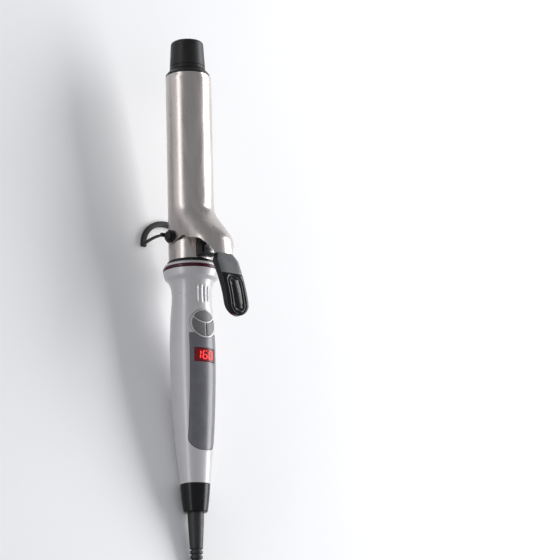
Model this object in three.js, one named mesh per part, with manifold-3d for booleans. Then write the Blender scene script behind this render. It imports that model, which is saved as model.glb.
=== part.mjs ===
// A curling iron with a spring clamp, a folding table stand, a swivel cord and a digital control panel.
// Millimetres, +Z up. The iron lies on a table (z = 0) on its stand and on the rear end of its handle,
// with its tip raised. Each piece is modelled along the iron's own axis (X from the rear end of the
// handle towards the tip, Z towards the thumb lever), and the whole iron is then tilted to its rest.

import * as THREE from "three";
import { mergeVertices } from "three/addons/utils/BufferGeometryUtils.js";
import Module from "manifold-3d";

const wasm = await Module();
wasm.setup();

// ---------- Driving dimensions ----------

const GAP = 0.3; // between pieces that touch
const RUN = 0.4; // between pieces that move past each other
const ROUND = 24; // facets of a round piece

// Along the axis, from the rear end to the tip
const endCapLength = 20;
const handleLength = 153.7;
const ringWidth = 2.2; // red ring, rim ring and heat ring, each
const barrelLength = 139.5; // in front of the rings
const flangeLength = 4.2;
const tipCapLength = 22.5;

// Barrel and tip
const barrelRadius = 16;
const barrelWall = 1.2;
const barrelInsert = 4; // length of tube held inside the handle
const tipBaseRadius = 13;
const tipEndRadius = 11.7;
const tipRounding = 3;
const tipBossRadius = 8;

// Handle
const collarRadius = 20.3;
const collarLength = 11;
const neckRadius = 14.3;
const neckPlace = 17; // from the front of the handle
const gripRadius = 16.4;
const handleRearRadius = 10.8;
const rearEndRadius = 8.6;
const handleWall = 2.2;
const screwRadius = 1.2;
const screwHeadRadius = 2.6;

// Hinge of the clamp and of the stand
const hingeForward = 17.1; // in front of the rings
const hingePinRadius = 1.8;
const hingeHeadRadius = 3.8;
const hingeHeadHeight = 1.7;

// Clamp plate and lever
const clampWall = 0.8;
const clampGap = 0.35;
const clampHalfAngle = 82 * Math.PI / 180;
const creaseForward = 24; // from the hinge to the bend of the lever
const leverRise = 24.2; // how far the lever climbs above the clamp plate at the pad
const leverReach = 19; // from the hinge back to the end of the metal
const earDrop = 5;
const earHalfLength = 5.6;
const liningThickness = 1.6;
const liningGap = 0.9; // between the lining and the metal

// Thumb pad
const padLength = 48;
const padHalfWidth = 9.5;
const padFrontDepth = 10.5;
const padEndDepth = 7.5;
const padRise = 14;
const padStep = 2; // of its front above the metal

// Stand
const standDrop = 30;
const standHalfWidth = 22.4;
const standArmWidth = 1.8;
const standArmDepth = 1.6;
const standBandWidth = 4;
const standBandDepth = 2;
const standBulge = 20.8;
const eyeletRadius = 4.6;
const eyeletWidth = 1.5;

// Controls
const buttonRingRadius = 9.2;
const buttonRib = 1.6; // between one button and the next
const buttonProud = 0.7;
const lensRadius = 10; // plan of the power button's rear edge
const buttonsFromFront = 40.2; // centre of the buttons, from the front of the handle
const bezelRim = 1.3;
const panelLength = 90.5; // from the centre of the buttons to the rear end of the panel
const panelHalfWidth = 10.9;
const panelDepth = 1.5;
const panelCorner = 9;
const panelFront = 7; // its front corners, behind the centre of the buttons
const windowLength = 9.6;
const windowHalfWidth = 8.4;
const windowFromButtons = 23; // centre to centre

// Electronics
const boardLength = 84;
const boardHalfWidth = 8.6;
const boardThickness = 1.6;
const boardHeight = 2.4; // of its underside above the axis
const boardFront = 35; // its front end, from the front of the handle
const heaterLength = 96;
const heaterWidth = 14;
const heaterThickness = 3;
const leadRadius = 0.9;
const leadPlace = 4.6; // from the iron's middle plane
const leadHole = 6;
const switchHeight = 3.5;
const switchSize = 5.6;

// Cord
const cordDiameter = 6.4;
const guardLength = 42;
const guardRadius = 5.8;
const guardEndRadius = 4.3;
const cordSteps = 24;

// The free cord's route in the table's frame, from the guard to the hank.
const cordRoute = [
  [-190.96, 0, 4.56], [-196, 0, 4.1], [-201, 0.4, 3.8], [-206, 1.4, 3.6], [-211, 3, 3.5],
  [-216, 5.2, 3.5], [-222, 8.3, 3.5], [-228, 11.8, 3.5], [-234, 15.2, 3.6], [-240, 18.5, 3.8],
  [-246, 21.3, 4.1], [-252, 23.5, 4.4], [-258, 24.9, 4.7], [-264, 25.5, 4.8], [-270.9, 25.6, 4.8],
];

// The tied hank of cord
const hankNear = -290; // middle of its near folds
const hankRun = 103.8;
const hankFold = 4 * cordDiameter; // radius of the outer folds, at the middle of the cord
const hankLayers = 3;
const hankBase = 1.6;
const tieWidth = 12;
const tieThickness = 1.1;

// Plug
const plugY = -3 * cordDiameter;
const plugStart = hankNear + 25.2;
const plugReliefLength = 16;
const plugBodyLength = 29;
const plugHalfWidth = 11;
const plugHalfHeight = 7;
const bladePitch = 12.7;
const bladeLength = 17;
const bladeWidth = 6.3;
const bladeThickness = 1.5;

// ---------- Places that follow from the dimensions ----------

const xHandleRear = endCapLength;
const xHandleFront = xHandleRear + handleLength;
const xRings = xHandleFront + GAP;
const xRingsFront = xRings + 3 * ringWidth + 2 * GAP;
const xHinge = xRingsFront + hingeForward;
const xFlange = xRingsFront + barrelLength;
const xTip = xFlange + flangeLength + GAP;
const xEnd = xTip + tipCapLength;
const xButtons = xHandleFront - buttonsFromFront;
const xWindow = xButtons - windowFromButtons;
const clampInner = barrelRadius + clampGap;
const clampOuter = clampInner + clampWall;
const clampFront = xFlange - 2;
const xCrease = xHinge + creaseForward;
const xLeverEnd = xHinge - leverReach;
const boreRadius = barrelRadius + GAP;
const tubeInner = barrelRadius - barrelWall;

// The stand's foot lies flat on the table, so its drop and the handle's rear end give the tilt.
const tilt = restTilt();

// ---------- Geometry helpers ----------

// Merge shared vertices, drop empty triangles and turn the faces out.
function weld(source) {
  let geometry = source.clone();
  for (const name of Object.keys(geometry.attributes)) {
    if (name !== "position") geometry.deleteAttribute(name);
  }
  geometry = mergeVertices(geometry, 1e-4);
  const index = geometry.index.array;
  const kept = [];
  for (let i = 0; i < index.length; i += 3) {
    const [a, b, c] = [index[i], index[i + 1], index[i + 2]];
    if (a !== b && b !== c && c !== a) kept.push(a, b, c);
  }
  geometry.setIndex(kept);
  if (signedVolume(geometry) < 0) geometry.setIndex(kept.reverse());
  return geometry;
}

function signedVolume(geometry) {
  const position = geometry.attributes.position;
  const index = geometry.index.array;
  const [a, b, c] = [new THREE.Vector3(), new THREE.Vector3(), new THREE.Vector3()];
  let sum = 0;
  for (let i = 0; i < index.length; i += 3) {
    a.fromBufferAttribute(position, index[i]);
    b.fromBufferAttribute(position, index[i + 1]);
    c.fromBufferAttribute(position, index[i + 2]);
    sum += a.dot(b.cross(c)) / 6;
  }
  return sum;
}

function solid(geometry) {
  const welded = weld(geometry);
  return new wasm.Manifold(new wasm.Mesh({
    numProp: 3,
    vertProperties: new Float32Array(welded.attributes.position.array),
    triVerts: new Uint32Array(welded.index.array),
  }));
}

function geometryOf(shape) {
  const mesh = shape.getMesh();
  const geometry = new THREE.BufferGeometry();
  geometry.setAttribute("position", new THREE.BufferAttribute(mesh.vertProperties, 3));
  geometry.setIndex(new THREE.BufferAttribute(mesh.triVerts, 1));
  return geometry;
}

// A body turned about the iron's axis from [x, radius] points.
function turned(points, segments = ROUND) {
  const outline = points.map(([x, radius]) => new THREE.Vector2(radius, x));
  return new THREE.LatheGeometry(outline, segments).rotateZ(-Math.PI / 2);
}

// A ring or tube: [x, radius] points outside, closed by a straight bore.
function sleeve(points, bore, segments = ROUND) {
  const first = points[0][0];
  const last = points[points.length - 1][0];
  return turned([[first, bore], ...points, [last, bore], [first, bore]], segments);
}

function rod(x0, x1, radius, segments = 16) {
  return turned([[x0, 0], [x0, radius], [x1, radius], [x1, 0]], segments);
}

function block(x0, x1, y0, y1, z0, z1) {
  const box = new THREE.BoxGeometry(x1 - x0, y1 - y0, z1 - z0);
  return box.translate((x0 + x1) / 2, (y0 + y1) / 2, (z0 + z1) / 2);
}

// A flat outline in the XY plane, raised from z0 to z1.
function raised(shape, z0, z1, curveSegments = 12) {
  const settings = { depth: z1 - z0, bevelEnabled: false, curveSegments };
  return new THREE.ExtrudeGeometry(shape, settings).translate(0, 0, z0);
}

// A flat outline in the XZ plane, as wide as y0 to y1.
function sideways(shape, y0, y1, curveSegments = 12) {
  return raised(shape, -y1, -y0, curveSegments).rotateX(Math.PI / 2);
}

function disc(x, y, radius, z0, z1, segments = ROUND) {
  const upright = new THREE.CylinderGeometry(radius, radius, z1 - z0, segments).rotateX(Math.PI / 2);
  return upright.translate(x, y, (z0 + z1) / 2);
}

// A pin or a hole along Y.
function crosswise(x, z, radius, y0, y1, segments = 20) {
  const pin = new THREE.CylinderGeometry(radius, radius, y1 - y0, segments);
  return pin.translate(x, (y0 + y1) / 2, z);
}

function polygon(points) {
  return new THREE.Shape(points.map(([x, y]) => new THREE.Vector2(x, y)));
}

// A closed skin of even thickness from two grids of points, outer(u, v) and inner(u, v).
function skin(columns, rows, outer, inner) {
  const positions = [];
  const index = [];
  const across = rows + 1;
  for (const side of [outer, inner]) {
    for (let i = 0; i <= columns; i++) {
      for (let j = 0; j <= rows; j++) positions.push(...side(i / columns, j / rows));
    }
  }
  const back = (columns + 1) * across;
  const quad = (a, b, c, d) => index.push(a, b, c, a, c, d);
  for (let i = 0; i < columns; i++) {
    for (let j = 0; j < rows; j++) {
      const a = i * across + j;
      quad(a, a + 1, a + across + 1, a + across);
      quad(back + a, back + a + across, back + a + across + 1, back + a + 1);
    }
  }
  for (let i = 0; i < columns; i++) {
    const low = i * across;
    const high = low + rows;
    quad(low, low + across, back + low + across, back + low);
    quad(high, back + high, back + high + across, high + across);
  }
  for (let j = 0; j < rows; j++) {
    const far = columns * across + j;
    quad(j, back + j, back + j + 1, j + 1);
    quad(far, far + 1, back + far + 1, back + far);
  }
  const geometry = new THREE.BufferGeometry();
  geometry.setAttribute("position", new THREE.Float32BufferAttribute(positions, 3));
  geometry.setIndex(index);
  return geometry;
}

// A body through equal rings of points, closed by a fan at each end.
function loft(rings) {
  const count = rings[0].length;
  const positions = rings.flat(2);
  const index = [];
  for (let i = 0; i < rings.length - 1; i++) {
    for (let j = 0; j < count; j++) {
      const a = i * count + j;
      const b = i * count + (j + 1) % count;
      index.push(a, b, b + count, a, b + count, a + count);
    }
  }
  for (const ring of [0, rings.length - 1]) {
    const middle = positions.length / 3;
    for (let k = 0; k < 3; k++) {
      positions.push(rings[ring].reduce((sum, point) => sum + point[k], 0) / count);
    }
    for (let j = 0; j < count; j++) {
      const a = ring * count + j;
      const b = ring * count + (j + 1) % count;
      if (ring === 0) index.push(middle, b, a);
      else index.push(middle, a, b);
    }
  }
  const geometry = new THREE.BufferGeometry();
  geometry.setAttribute("position", new THREE.Float32BufferAttribute(positions, 3));
  geometry.setIndex(index);
  return geometry;
}

function tubeAlong(points, radius, sides, steps) {
  const curve = new THREE.CatmullRomCurve3(points.map((p) => new THREE.Vector3(...p)), false, "centripetal");
  const section = new THREE.Shape().absarc(0, 0, radius, 0, 2 * Math.PI);
  const settings = { steps, curveSegments: sides / 2, extrudePath: curve, bevelEnabled: false };
  return new THREE.ExtrudeGeometry(section, settings);
}

function smoothstep(low, high, value) {
  const t = Math.min(1, Math.max(0, (value - low) / (high - low)));
  return t * t * (3 - 2 * t);
}

// ---------- Handle ----------

// The handle's outline from rear to front, as [x, radius].
function handleOutline(samples = 15) {
  const rearPart = handleLength - neckPlace;
  const points = [
    [xHandleRear, handleRearRadius],
    [xHandleRear + 0.25 * rearPart, handleRearRadius + 0.57 * (gripRadius - handleRearRadius)],
    [xHandleRear + 0.48 * rearPart, handleRearRadius + 0.9 * (gripRadius - handleRearRadius)],
    [xHandleRear + 0.7 * rearPart, gripRadius],
    [xHandleRear + 0.87 * rearPart, (gripRadius + neckRadius) / 2 + 0.2],
    [xHandleFront - neckPlace, neckRadius],
    [xHandleFront - 0.75 * collarLength, neckRadius + 0.3 * (collarRadius - neckRadius)],
    [xHandleFront - 0.45 * collarLength, collarRadius - 1.4],
    [xHandleFront, collarRadius],
  ];
  const curve = new THREE.SplineCurve(points.map(([x, r]) => new THREE.Vector2(x, r)));
  return curve.getPoints(samples).map((point) => [point.x, point.y]);
}

function handleRadiusAt(x) {
  const outline = handleOutline();
  const next = outline.findIndex(([place]) => place >= x);
  if (next < 1) return outline[0][1];
  const [[x0, r0], [x1, r1]] = [outline[next - 1], outline[next]];
  return r0 + (r1 - r0) * (x - x0) / (x1 - x0);
}

// A layer of the handle's skin between two depths: positive is inside the surface.
function handleLayer(innerDepth, outerDepth) {
  const outline = handleOutline();
  const outer = outline.map(([x, r]) => [x, r - outerDepth]);
  const inner = outline.map(([x, r]) => [x, r - innerDepth]).reverse();
  return solid(turned([...outer, ...inner, outer[0]], ROUND));
}

function handleShells() {
  const wide = 2 * collarRadius;
  const front = xHandleFront;
  const shell = handleLayer(handleWall, 0)
    .add(solid(sleeve([[front - 3, neckRadius], [front, collarRadius - 1]], boreRadius + GAP)))
    .intersect(solid(rod(xHandleRear, front, wide, 8)));
  const upperHalf = solid(block(xHandleRear - 1, front + 1, -wide, wide, GAP / 2, wide));
  const lowerHalf = solid(block(xHandleRear - 1, front + 1, -wide, wide, -wide, -GAP / 2));
  const recess = handleLayer(panelDepth + GAP, -2).intersect(solid(raised(panelOutline(GAP), 0, wide)));
  const module = block(
    xWindow - windowLength / 2, xWindow + windowLength / 2,
    -windowHalfWidth + 1, windowHalfWidth - 1, 4, wide,
  );
  let upper = shell.intersect(upperHalf)
    .subtract(recess)
    .subtract(solid(disc(xButtons, 0, buttonRingRadius + bezelRim + GAP, 4, wide)))
    .subtract(solid(module));
  let lower = shell.intersect(lowerHalf);
  const inside = solid(turned(insideOutline()));
  for (const x of screwPlaces()) {
    const boss = solid(disc(x, 0, 3.2, GAP, wide, 20)).intersect(inside.add(handleLayer(handleWall, 1)));
    upper = upper.add(boss).subtract(solid(disc(x, 0, screwRadius + GAP, -1, 6.5, 16)));
    const foot = solid(disc(x, 0, 3.2, -wide, -GAP, 20)).intersect(inside.add(handleLayer(handleWall, 1)));
    lower = lower.add(foot)
      .subtract(solid(disc(x, 0, screwRadius + GAP, -wide, 0, 16)))
      .subtract(solid(disc(x, 0, screwHeadRadius + GAP, -wide, screwSeat(x) + GAP / 2, 20)));
  }
  for (const x of boardRibPlaces()) {
    const rib = solid(block(x - 1, x + 1, -boardHalfWidth + 1, boardHalfWidth - 1, -wide, boardHeight - GAP));
    lower = lower.add(rib.intersect(inside.add(handleLayer(handleWall, 1)))
      .subtract(solid(block(x - 2, x + 2, -4, 4, -wide / 4, wide))));
  }
  return { upper: geometryOf(upper), lower: geometryOf(lower) };
}

// The hollow of the handle as a solid of its own, for trimming ribs and bosses.
function insideOutline() {
  const outline = handleOutline().map(([x, r]) => [x, r - handleWall + 0.1]);
  const first = outline[0][0];
  const last = outline[outline.length - 1][0];
  return [[first, 0], ...outline, [last, 0]];
}

function screwPlaces() {
  return [xHandleRear + 14, xHandleFront - 22];
}

function screwSeat(x) {
  return -handleRadiusAt(x) + 3.4;
}

function boardRibPlaces() {
  const front = xHandleFront - boardFront;
  return [front - boardLength + 6, front - 6];
}

function handleScrews() {
  return screwPlaces().map((x) => {
    const seat = screwSeat(x);
    return geometryOf(solid(disc(x, 0, screwHeadRadius, seat - 1.8, seat, 20))
      .add(solid(disc(x, 0, screwRadius, seat - 0.1, 5.5, 14))));
  });
}

// The outside of the rear half of the end cap, as [x, radius].
function endCapOutline() {
  return [[0, rearEndRadius - 0.9], [0.9, rearEndRadius], [endCapLength * 0.35, rearEndRadius + 0.9]];
}

function endCap() {
  const front = endCapLength - GAP;
  const spigot = handleRearRadius - handleWall - GAP;
  const bore = guardRadius + GAP;
  return geometryOf(solid(turned([
    [0, bore], ...endCapOutline(), [front, handleRearRadius - 0.05], [front, spigot], [front + 6, spigot],
    [front + 6, spigot - 1.4], [6, spigot - 1.4], [6, bore], [0, bore],
  ])));
}

// ---------- Controls ----------

// Plan of the dark panel: straight sides, a round rear end, and a hollow round the buttons.
function panelOutline(grow = 0) {
  const rear = xButtons - panelLength - grow;
  const half = panelHalfWidth + grow;
  const ring = buttonRingRadius + bezelRim + GAP - grow;
  const bend = rear + panelCorner;
  const front = xButtons - panelFront;
  const shape = new THREE.Shape();
  shape.moveTo(front, half);
  shape.lineTo(bend, half);
  shape.absarc(bend, half - panelCorner, panelCorner, Math.PI / 2, Math.PI, false);
  shape.absarc(bend, panelCorner - half, panelCorner, Math.PI, 1.5 * Math.PI, false);
  shape.lineTo(front, -half);
  const angle = Math.acos(panelFront / ring);
  shape.absarc(xButtons, 0, ring, Math.PI + angle, Math.PI - angle, true);
  return shape;
}

function controlPanel() {
  const wide = 2 * gripRadius;
  return geometryOf(handleLayer(panelDepth, -0.1)
    .intersect(solid(raised(panelOutline(), 0, wide)))
    .subtract(windowPrism(GAP, wide)));
}

function windowPrism(grow, height) {
  return solid(block(
    xWindow - windowLength / 2 - grow, xWindow + windowLength / 2 + grow,
    -windowHalfWidth - grow, windowHalfWidth + grow, 2, height,
  ));
}

function displayWindow() {
  return geometryOf(handleLayer(panelDepth - 0.1, -0.15).intersect(windowPrism(0, 2 * gripRadius)));
}

function displayModule() {
  const top = Math.sqrt((handleRadiusAt(xWindow) - panelDepth) ** 2 - windowHalfWidth ** 2) - 0.8;
  const half = windowHalfWidth - 1 - GAP;
  const base = boardHeight + boardThickness + GAP;
  return block(
    xWindow - windowLength / 2 + GAP, xWindow + windowLength / 2 - GAP, -half, half, base, top,
  );
}

// The power button is a lens at the front of the ring; the other two share the rest.
function buttonPlans(grow = 0) {
  const tall = 2 * gripRadius;
  const xLens = xButtons + 1.5 + lensRadius;
  const ring = solid(disc(xButtons, 0, buttonRingRadius + grow, -1, tall));
  const lens = solid(disc(xLens, 0, lensRadius + grow, -2, tall + 1));
  const rest = ring.subtract(solid(disc(xLens, 0, lensRadius + buttonRib - grow, -2, tall + 1)));
  const side = (low, high) => rest.intersect(solid(block(xButtons - 12, xButtons + 12, low, high, -1, tall)));
  const middle = buttonRib / 2 - grow;
  return [ring.intersect(lens), side(middle, 12), side(-12, -middle)];
}

function buttons() {
  const crown = handleLayer(4, -buttonProud);
  return buttonPlans().map((plan, i) => {
    const [x, y] = switchPlaces()[i];
    const stem = disc(x, y, 1.5, stemFoot(), handleRadiusAt(x) - 3.4, 14);
    return geometryOf(plan.intersect(crown).add(solid(stem).intersect(plan)));
  });
}

function switchPlaces() {
  return [[xButtons + 5.2, 0], [xButtons - 4, 4.2], [xButtons - 4, -4.2]];
}

function stemFoot() {
  return boardHeight + boardThickness + GAP + switchHeight + 1.1;
}

function tactSwitches() {
  const base = boardHeight + boardThickness + GAP;
  const half = switchSize / 2;
  return switchPlaces().map(([x, y]) => (
    block(x - half, x + half, y - half, y + half, base, base + switchHeight)
  ));
}

function buttonBezel() {
  const ring = buttonRingRadius + bezelRim;
  const holes = buttonPlans(GAP);
  let bezel = handleLayer(2.4, -0.25).intersect(solid(disc(xButtons, 0, ring, 2, 2 * gripRadius)));
  for (const hole of holes) bezel = bezel.subtract(hole);
  return geometryOf(bezel);
}

// ---------- Electronics ----------

function controlBoard() {
  const front = xHandleFront - boardFront;
  return block(
    front - boardLength, front, -boardHalfWidth, boardHalfWidth, boardHeight, boardHeight + boardThickness,
  );
}

function powerModule() {
  const x = xWindow - 30;
  const base = boardHeight + boardThickness + GAP;
  return block(x - 6, x + 6, -5, 5, base, base + 5);
}

function heaterCore() {
  return block(xHeater(), xHeater() + heaterLength, -heaterWidth / 2, heaterWidth / 2,
    -heaterThickness / 2, heaterThickness / 2);
}

function xHeater() {
  return xFlange - heaterLength - 12;
}

function heatSpreader(side) {
  const radius = tubeInner - GAP;
  const half = solid(rod(xHeater(), xHeater() + heaterLength, radius, 24));
  const low = heaterThickness / 2 + GAP;
  const keep = side > 0 ? [low, radius + 1] : [-radius - 1, -low];
  return geometryOf(half.intersect(solid(block(xHeater() - 1, xFlange, -radius, radius, ...keep))));
}

function temperatureSensor() {
  const bead = rod(xHeater() - 6 - GAP, xHeater() - GAP, 1.3, 14);
  return bead.translate(0, 0, 6);
}

function thermalFuse() {
  const fuse = rod(xHeater() - 14 - GAP, xHeater() - GAP, 2, 16);
  return fuse.translate(0, 0, -6);
}

// The moulded insulator that holds the rear end of the barrel in the handle.
function barrelMount() {
  const seat = xHandleFront - barrelInsert - GAP;
  const rear = xHandleFront - neckPlace;
  const neck = neckRadius - handleWall - 2 * GAP;
  const plug = tubeInner - GAP;
  return turned([
    [rear, leadHole], [rear, neck], [seat - 6, neck], [seat, plug], [xRingsFront, plug],
    [xRingsFront, leadHole], [rear, leadHole],
  ]);
}

function heaterLeads() {
  const start = xHandleFront - boardFront + GAP;
  const end = xHeater() - GAP;
  const height = boardHeight + boardThickness / 2;
  return [leadPlace, -leadPlace].map((y) => tubeAlong([
    [start, y, height], [start + 6, y, height - 0.5], [xHandleFront - neckPlace, y, 0.4],
    [xHandleFront, y, 0], [end, y, 0],
  ], leadRadius, 6, 10));
}

// ---------- Barrel ----------

function barrelTube() {
  const rear = xHandleFront - barrelInsert;
  let tube = solid(sleeve([[rear, barrelRadius], [xFlange - GAP, barrelRadius]], tubeInner, 32));
  tube = tube.subtract(solid(crosswise(xHinge, 0, hingePinRadius + GAP, -20, 20)));
  return geometryOf(tube);
}

function tipFlange() {
  const front = xFlange + flangeLength;
  return turned([
    [xFlange - 8, 0], [xFlange - 8, tubeInner - GAP], [xFlange, tubeInner - GAP],
    [xFlange, barrelRadius], [xFlange + 0.8, barrelRadius], [front, tipBaseRadius + 0.2],
    [front, tipBossRadius], [front + 12, tipBossRadius], [front + 12, 0],
  ]);
}

function tipCap() {
  const bore = tipBossRadius + GAP;
  const depth = xTip + 12 + 2 * GAP;
  const slope = (tipBaseRadius - tipEndRadius) / tipCapLength;
  const radiusAt = (x) => tipBaseRadius - slope * (x - xTip);
  const groove = xTip + 1.6;
  const crown = xEnd - tipRounding;
  const rounding = [];
  for (let i = 0; i <= 3; i++) {
    const angle = i * Math.PI / 6;
    const sag = tipRounding * (1 - Math.cos(angle));
    rounding.push([crown + tipRounding * Math.sin(angle) * 0.85, radiusAt(crown) - sag]);
  }
  return turned([
    [depth, 0], [depth, bore], [xTip, bore], [xTip, tipBaseRadius], [groove, radiusAt(groove)],
    [groove + 0.2, radiusAt(groove) - 0.5], [groove + 1.0, radiusAt(groove) - 0.5],
    [groove + 1.2, radiusAt(groove)], ...rounding, [xEnd, 0],
  ]);
}

function frontRings() {
  const step = ringWidth + GAP;
  const bore = boreRadius;
  const red = xRings;
  const rim = red + step;
  const heat = rim + step;
  const w = ringWidth;
  return {
    red: sleeve([[red, collarRadius - 0.25], [red + 0.3, collarRadius], [red + w, collarRadius - 0.2]], bore),
    rim: sleeve([[rim, collarRadius - 0.5], [rim + w / 2, collarRadius - 0.8],
      [rim + w, collarRadius - 1.7]], bore),
    heat: sleeve([[heat, collarRadius - 2.4], [heat + w * 0.6, collarRadius - 3],
      [heat + w, collarRadius - 3.6]], bore),
  };
}

function hingeRivet(side) {
  const foot = tubeInner - 2.2;
  const head = standEyeOuter() + RUN;
  const dome = [0, 1, 2, 3, 4].map((i) => {
    const angle = i * Math.PI / 8;
    return [hingeHeadRadius * Math.cos(angle), head + 0.4 + hingeHeadHeight * Math.sin(angle)];
  });
  const outline = [
    [0, foot], [hingePinRadius + 1.4, foot], [hingePinRadius + 1.4, foot + 0.6], [hingePinRadius, foot + 0.6],
    [hingePinRadius, head], [hingeHeadRadius, head], ...dome,
  ];
  outline[outline.length - 1][0] = 0;
  const rivet = new THREE.LatheGeometry(outline.map(([r, y]) => new THREE.Vector2(r, y)), 14);
  return mirrored(weld(rivet.translate(xHinge, 0, 0)), side);
}

function mirrored(geometry, side) {
  if (side > 0) return geometry;
  return weld(geometry.clone().scale(1, -1, 1));
}

function springHousing() {
  const [x0, x1] = [xRingsFront + 1.2, xHinge - earHalfLength - 0.5];
  const shape = polygon([[x0, 12], [x0, 20.5], [x0 + 1.5, 22], [x1 - 2, 22], [x1, 20], [x1, 12]]);
  return geometryOf(solid(sideways(shape, -6.2, 6.2)).subtract(solid(rod(x0 - 2, x1 + 2, boreRadius, 56))));
}

// A leaf spring from the housing up to the underside of the lever.
function clampSpring() {
  const x0 = xRingsFront + 3;
  const base = 22 + GAP;
  const top = leverTop(xHinge - 6) - clampWall - liningGap - liningThickness - GAP;
  const line = [
    [x0, base], [x0 + 5, base], [xHinge - 9, base + 3], [xHinge - 5, top - 1.6], [xHinge - 6.5, top - 0.8],
  ];
  const path = new THREE.SplineCurve(line.map(([x, z]) => new THREE.Vector2(x, z))).getPoints(14);
  const thickness = 0.6;
  const upper = [];
  const lower = [];
  path.forEach((point, i) => {
    const ahead = path[Math.min(i + 1, path.length - 1)];
    const behind = path[Math.max(i - 1, 0)];
    const along = new THREE.Vector2().subVectors(ahead, behind).normalize();
    upper.push([point.x - along.y * thickness, point.y + along.x * thickness]);
    lower.push([point.x, point.y]);
  });
  return sideways(polygon([...lower, ...upper.reverse()]), -4, 4);
}

// ---------- Clamp and lever ----------

// Height of the clamp's crown along the axis: level on the barrel, then climbing to the lever's end.
function leverTop(x) {
  const back = xCrease - x;
  if (back <= 0) return clampOuter;
  const reach = xCrease - xLeverEnd;
  const t = back / reach;
  return clampOuter + leverRise * (smoothstep(0, 0.78, t) * 0.86 + 0.14 * t * t);
}

// Half the width of the uncut sheet, measured round its section from the crown.
function sheetHalfSpan(x) {
  const plate = clampOuter * clampHalfAngle;
  const walls = clampOuter * Math.PI / 2 + leverTop(x) - clampOuter + earDrop + 2;
  return plate + (walls - plate) * smoothstep(xCrease, xHinge + earHalfLength + 3, x);
}

// A point of the clamp's section: an arch of the given radius on straight walls.
function archPoint(x, span, radius) {
  const centre = leverTop(x) - clampOuter;
  const quarter = clampOuter * Math.PI / 2;
  const side = Math.sign(span);
  const length = Math.abs(span);
  if (length <= quarter) {
    const angle = length / clampOuter;
    return [x, side * radius * Math.sin(angle), centre + radius * Math.cos(angle)];
  }
  return [x, side * radius, centre - (length - quarter)];
}

function clampColumns(u) {
  const split = 0.3;
  if (u <= split) return clampFront + (xCrease - clampFront) * u / split;
  const t = (u - split) / (1 - split);
  return xCrease + (xLeverEnd - xCrease) * t;
}

function roundedTip(x, span) {
  const corner = 5;
  const back = clampFront - x;
  if (back >= corner) return span;
  const inset = corner - Math.sqrt(corner * corner - (corner - back) ** 2);
  return span * (1 - inset / (clampOuter * clampHalfAngle));
}

function clampSheet(outerRadius, innerRadius, columns = 18, rows = 20) {
  const at = (radius) => (u, v) => {
    const x = clampColumns(u);
    const half = roundedTip(x, sheetHalfSpan(x));
    return archPoint(x, (2 * v - 1) * half, radius);
  };
  return skin(columns, rows, at(outerRadius), at(innerRadius));
}

// Side view of the clamp: straight under the plate, an ear round the hinge, and the rear edge that
// sweeps up from the ear to the lever's tongue.
function clampSideView() {
  const at = (forward, height) => new THREE.Vector2(xHinge + forward, height);
  const tongue = leverTop(xLeverEnd);
  const shape = new THREE.Shape();
  shape.moveTo(clampFront + 1, 2 * tongue);
  shape.lineTo(clampFront + 1, 1);
  shape.lineTo(xHinge + earHalfLength + 4, 1);
  shape.splineThru([
    at(earHalfLength, -earDrop * 0.5), at(2, -earDrop), at(-2, -earDrop),
    at(-earHalfLength + 0.6, -earDrop * 0.5),
    at(-3.4, 6.5), at(-1.8, tongue * 0.36), at(-4.7, tongue * 0.48), at(-6.6, tongue * 0.68),
    at(-9, tongue * 0.8), at(-leverReach * 0.83, tongue * 0.925), at(-leverReach - 1, tongue * 0.955),
  ]);
  shape.lineTo(xLeverEnd - 1, 2 * tongue);
  return shape;
}

function clamp() {
  const hole = crosswise(xHinge, 0, hingePinRadius + RUN, -25, 25);
  const sheet = solid(clampSheet(clampOuter, clampInner));
  return geometryOf(sheet.intersect(solid(sideways(clampSideView(), -25, 25, 3))).subtract(solid(hole)));
}

// The heat-proof lining under the lever, which carries the thumb pad.
function leverLining() {
  const [x0, x1] = [xLeverEnd + GAP, xHinge - 1];
  const at = (drop) => (u, v) => {
    const x = x0 + (x1 - x0) * u;
    const half = 6.4 + 4 * smoothstep(0.2, 0.8, u);
    return archPoint(x, (2 * v - 1) * half, clampInner - liningGap - drop);
  };
  return skin(9, 8, at(0), at(liningThickness));
}

// Thumb pad: a tapering block that climbs to the rear, with rounded edges and a round end.
function thumbPad() {
  const front = xLeverEnd - GAP;
  const top = leverTop(xLeverEnd);
  const rings = [];
  const count = 12;
  for (let i = 0; i <= count; i++) {
    const t = i / count;
    const x = front - padLength * t;
    const nose = Math.min(1, (1 - t) * padLength / padHalfWidth);
    const end = Math.sqrt(Math.max(0.06, 1 - (1 - nose) ** 2));
    const lead = Math.min(1, 0.72 + 2.4 * t);
    const half = padHalfWidth * end * lead;
    const height = (padFrontDepth + (padEndDepth - padFrontDepth) * t) * (0.45 + 0.55 * end) * lead;
    const crown = top + padStep + padRise * Math.sin(t * Math.PI / 2) - (1 - end) * 1.5 - (1 - lead) * 3;
    rings.push(padSection(x, half, crown, height));
  }
  return loft(rings);
}

function padSection(x, half, crown, height) {
  const points = [];
  const corner = Math.min(half, height) * 0.35;
  for (let k = 0; k < 4; k++) {
    const [sy, sz] = [[1, 1], [-1, 1], [-1, -1], [1, -1]][k];
    for (let j = 0; j <= 3; j++) {
      const angle = (k + j / 3) * Math.PI / 2;
      const narrow = sz < 0 ? 0.82 : 1;
      const y = (sy * (half - corner) + corner * Math.cos(angle)) * narrow;
      const z = crown - height / 2 + sz * (height / 2 - corner) + corner * Math.sin(angle);
      points.push([x, y, z]);
    }
  }
  return points;
}

// ---------- Stand ----------

function standEyeInner() {
  return clampOuter + RUN;
}

function standEyeOuter() {
  return standEyeInner() + eyeletWidth;
}

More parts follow.
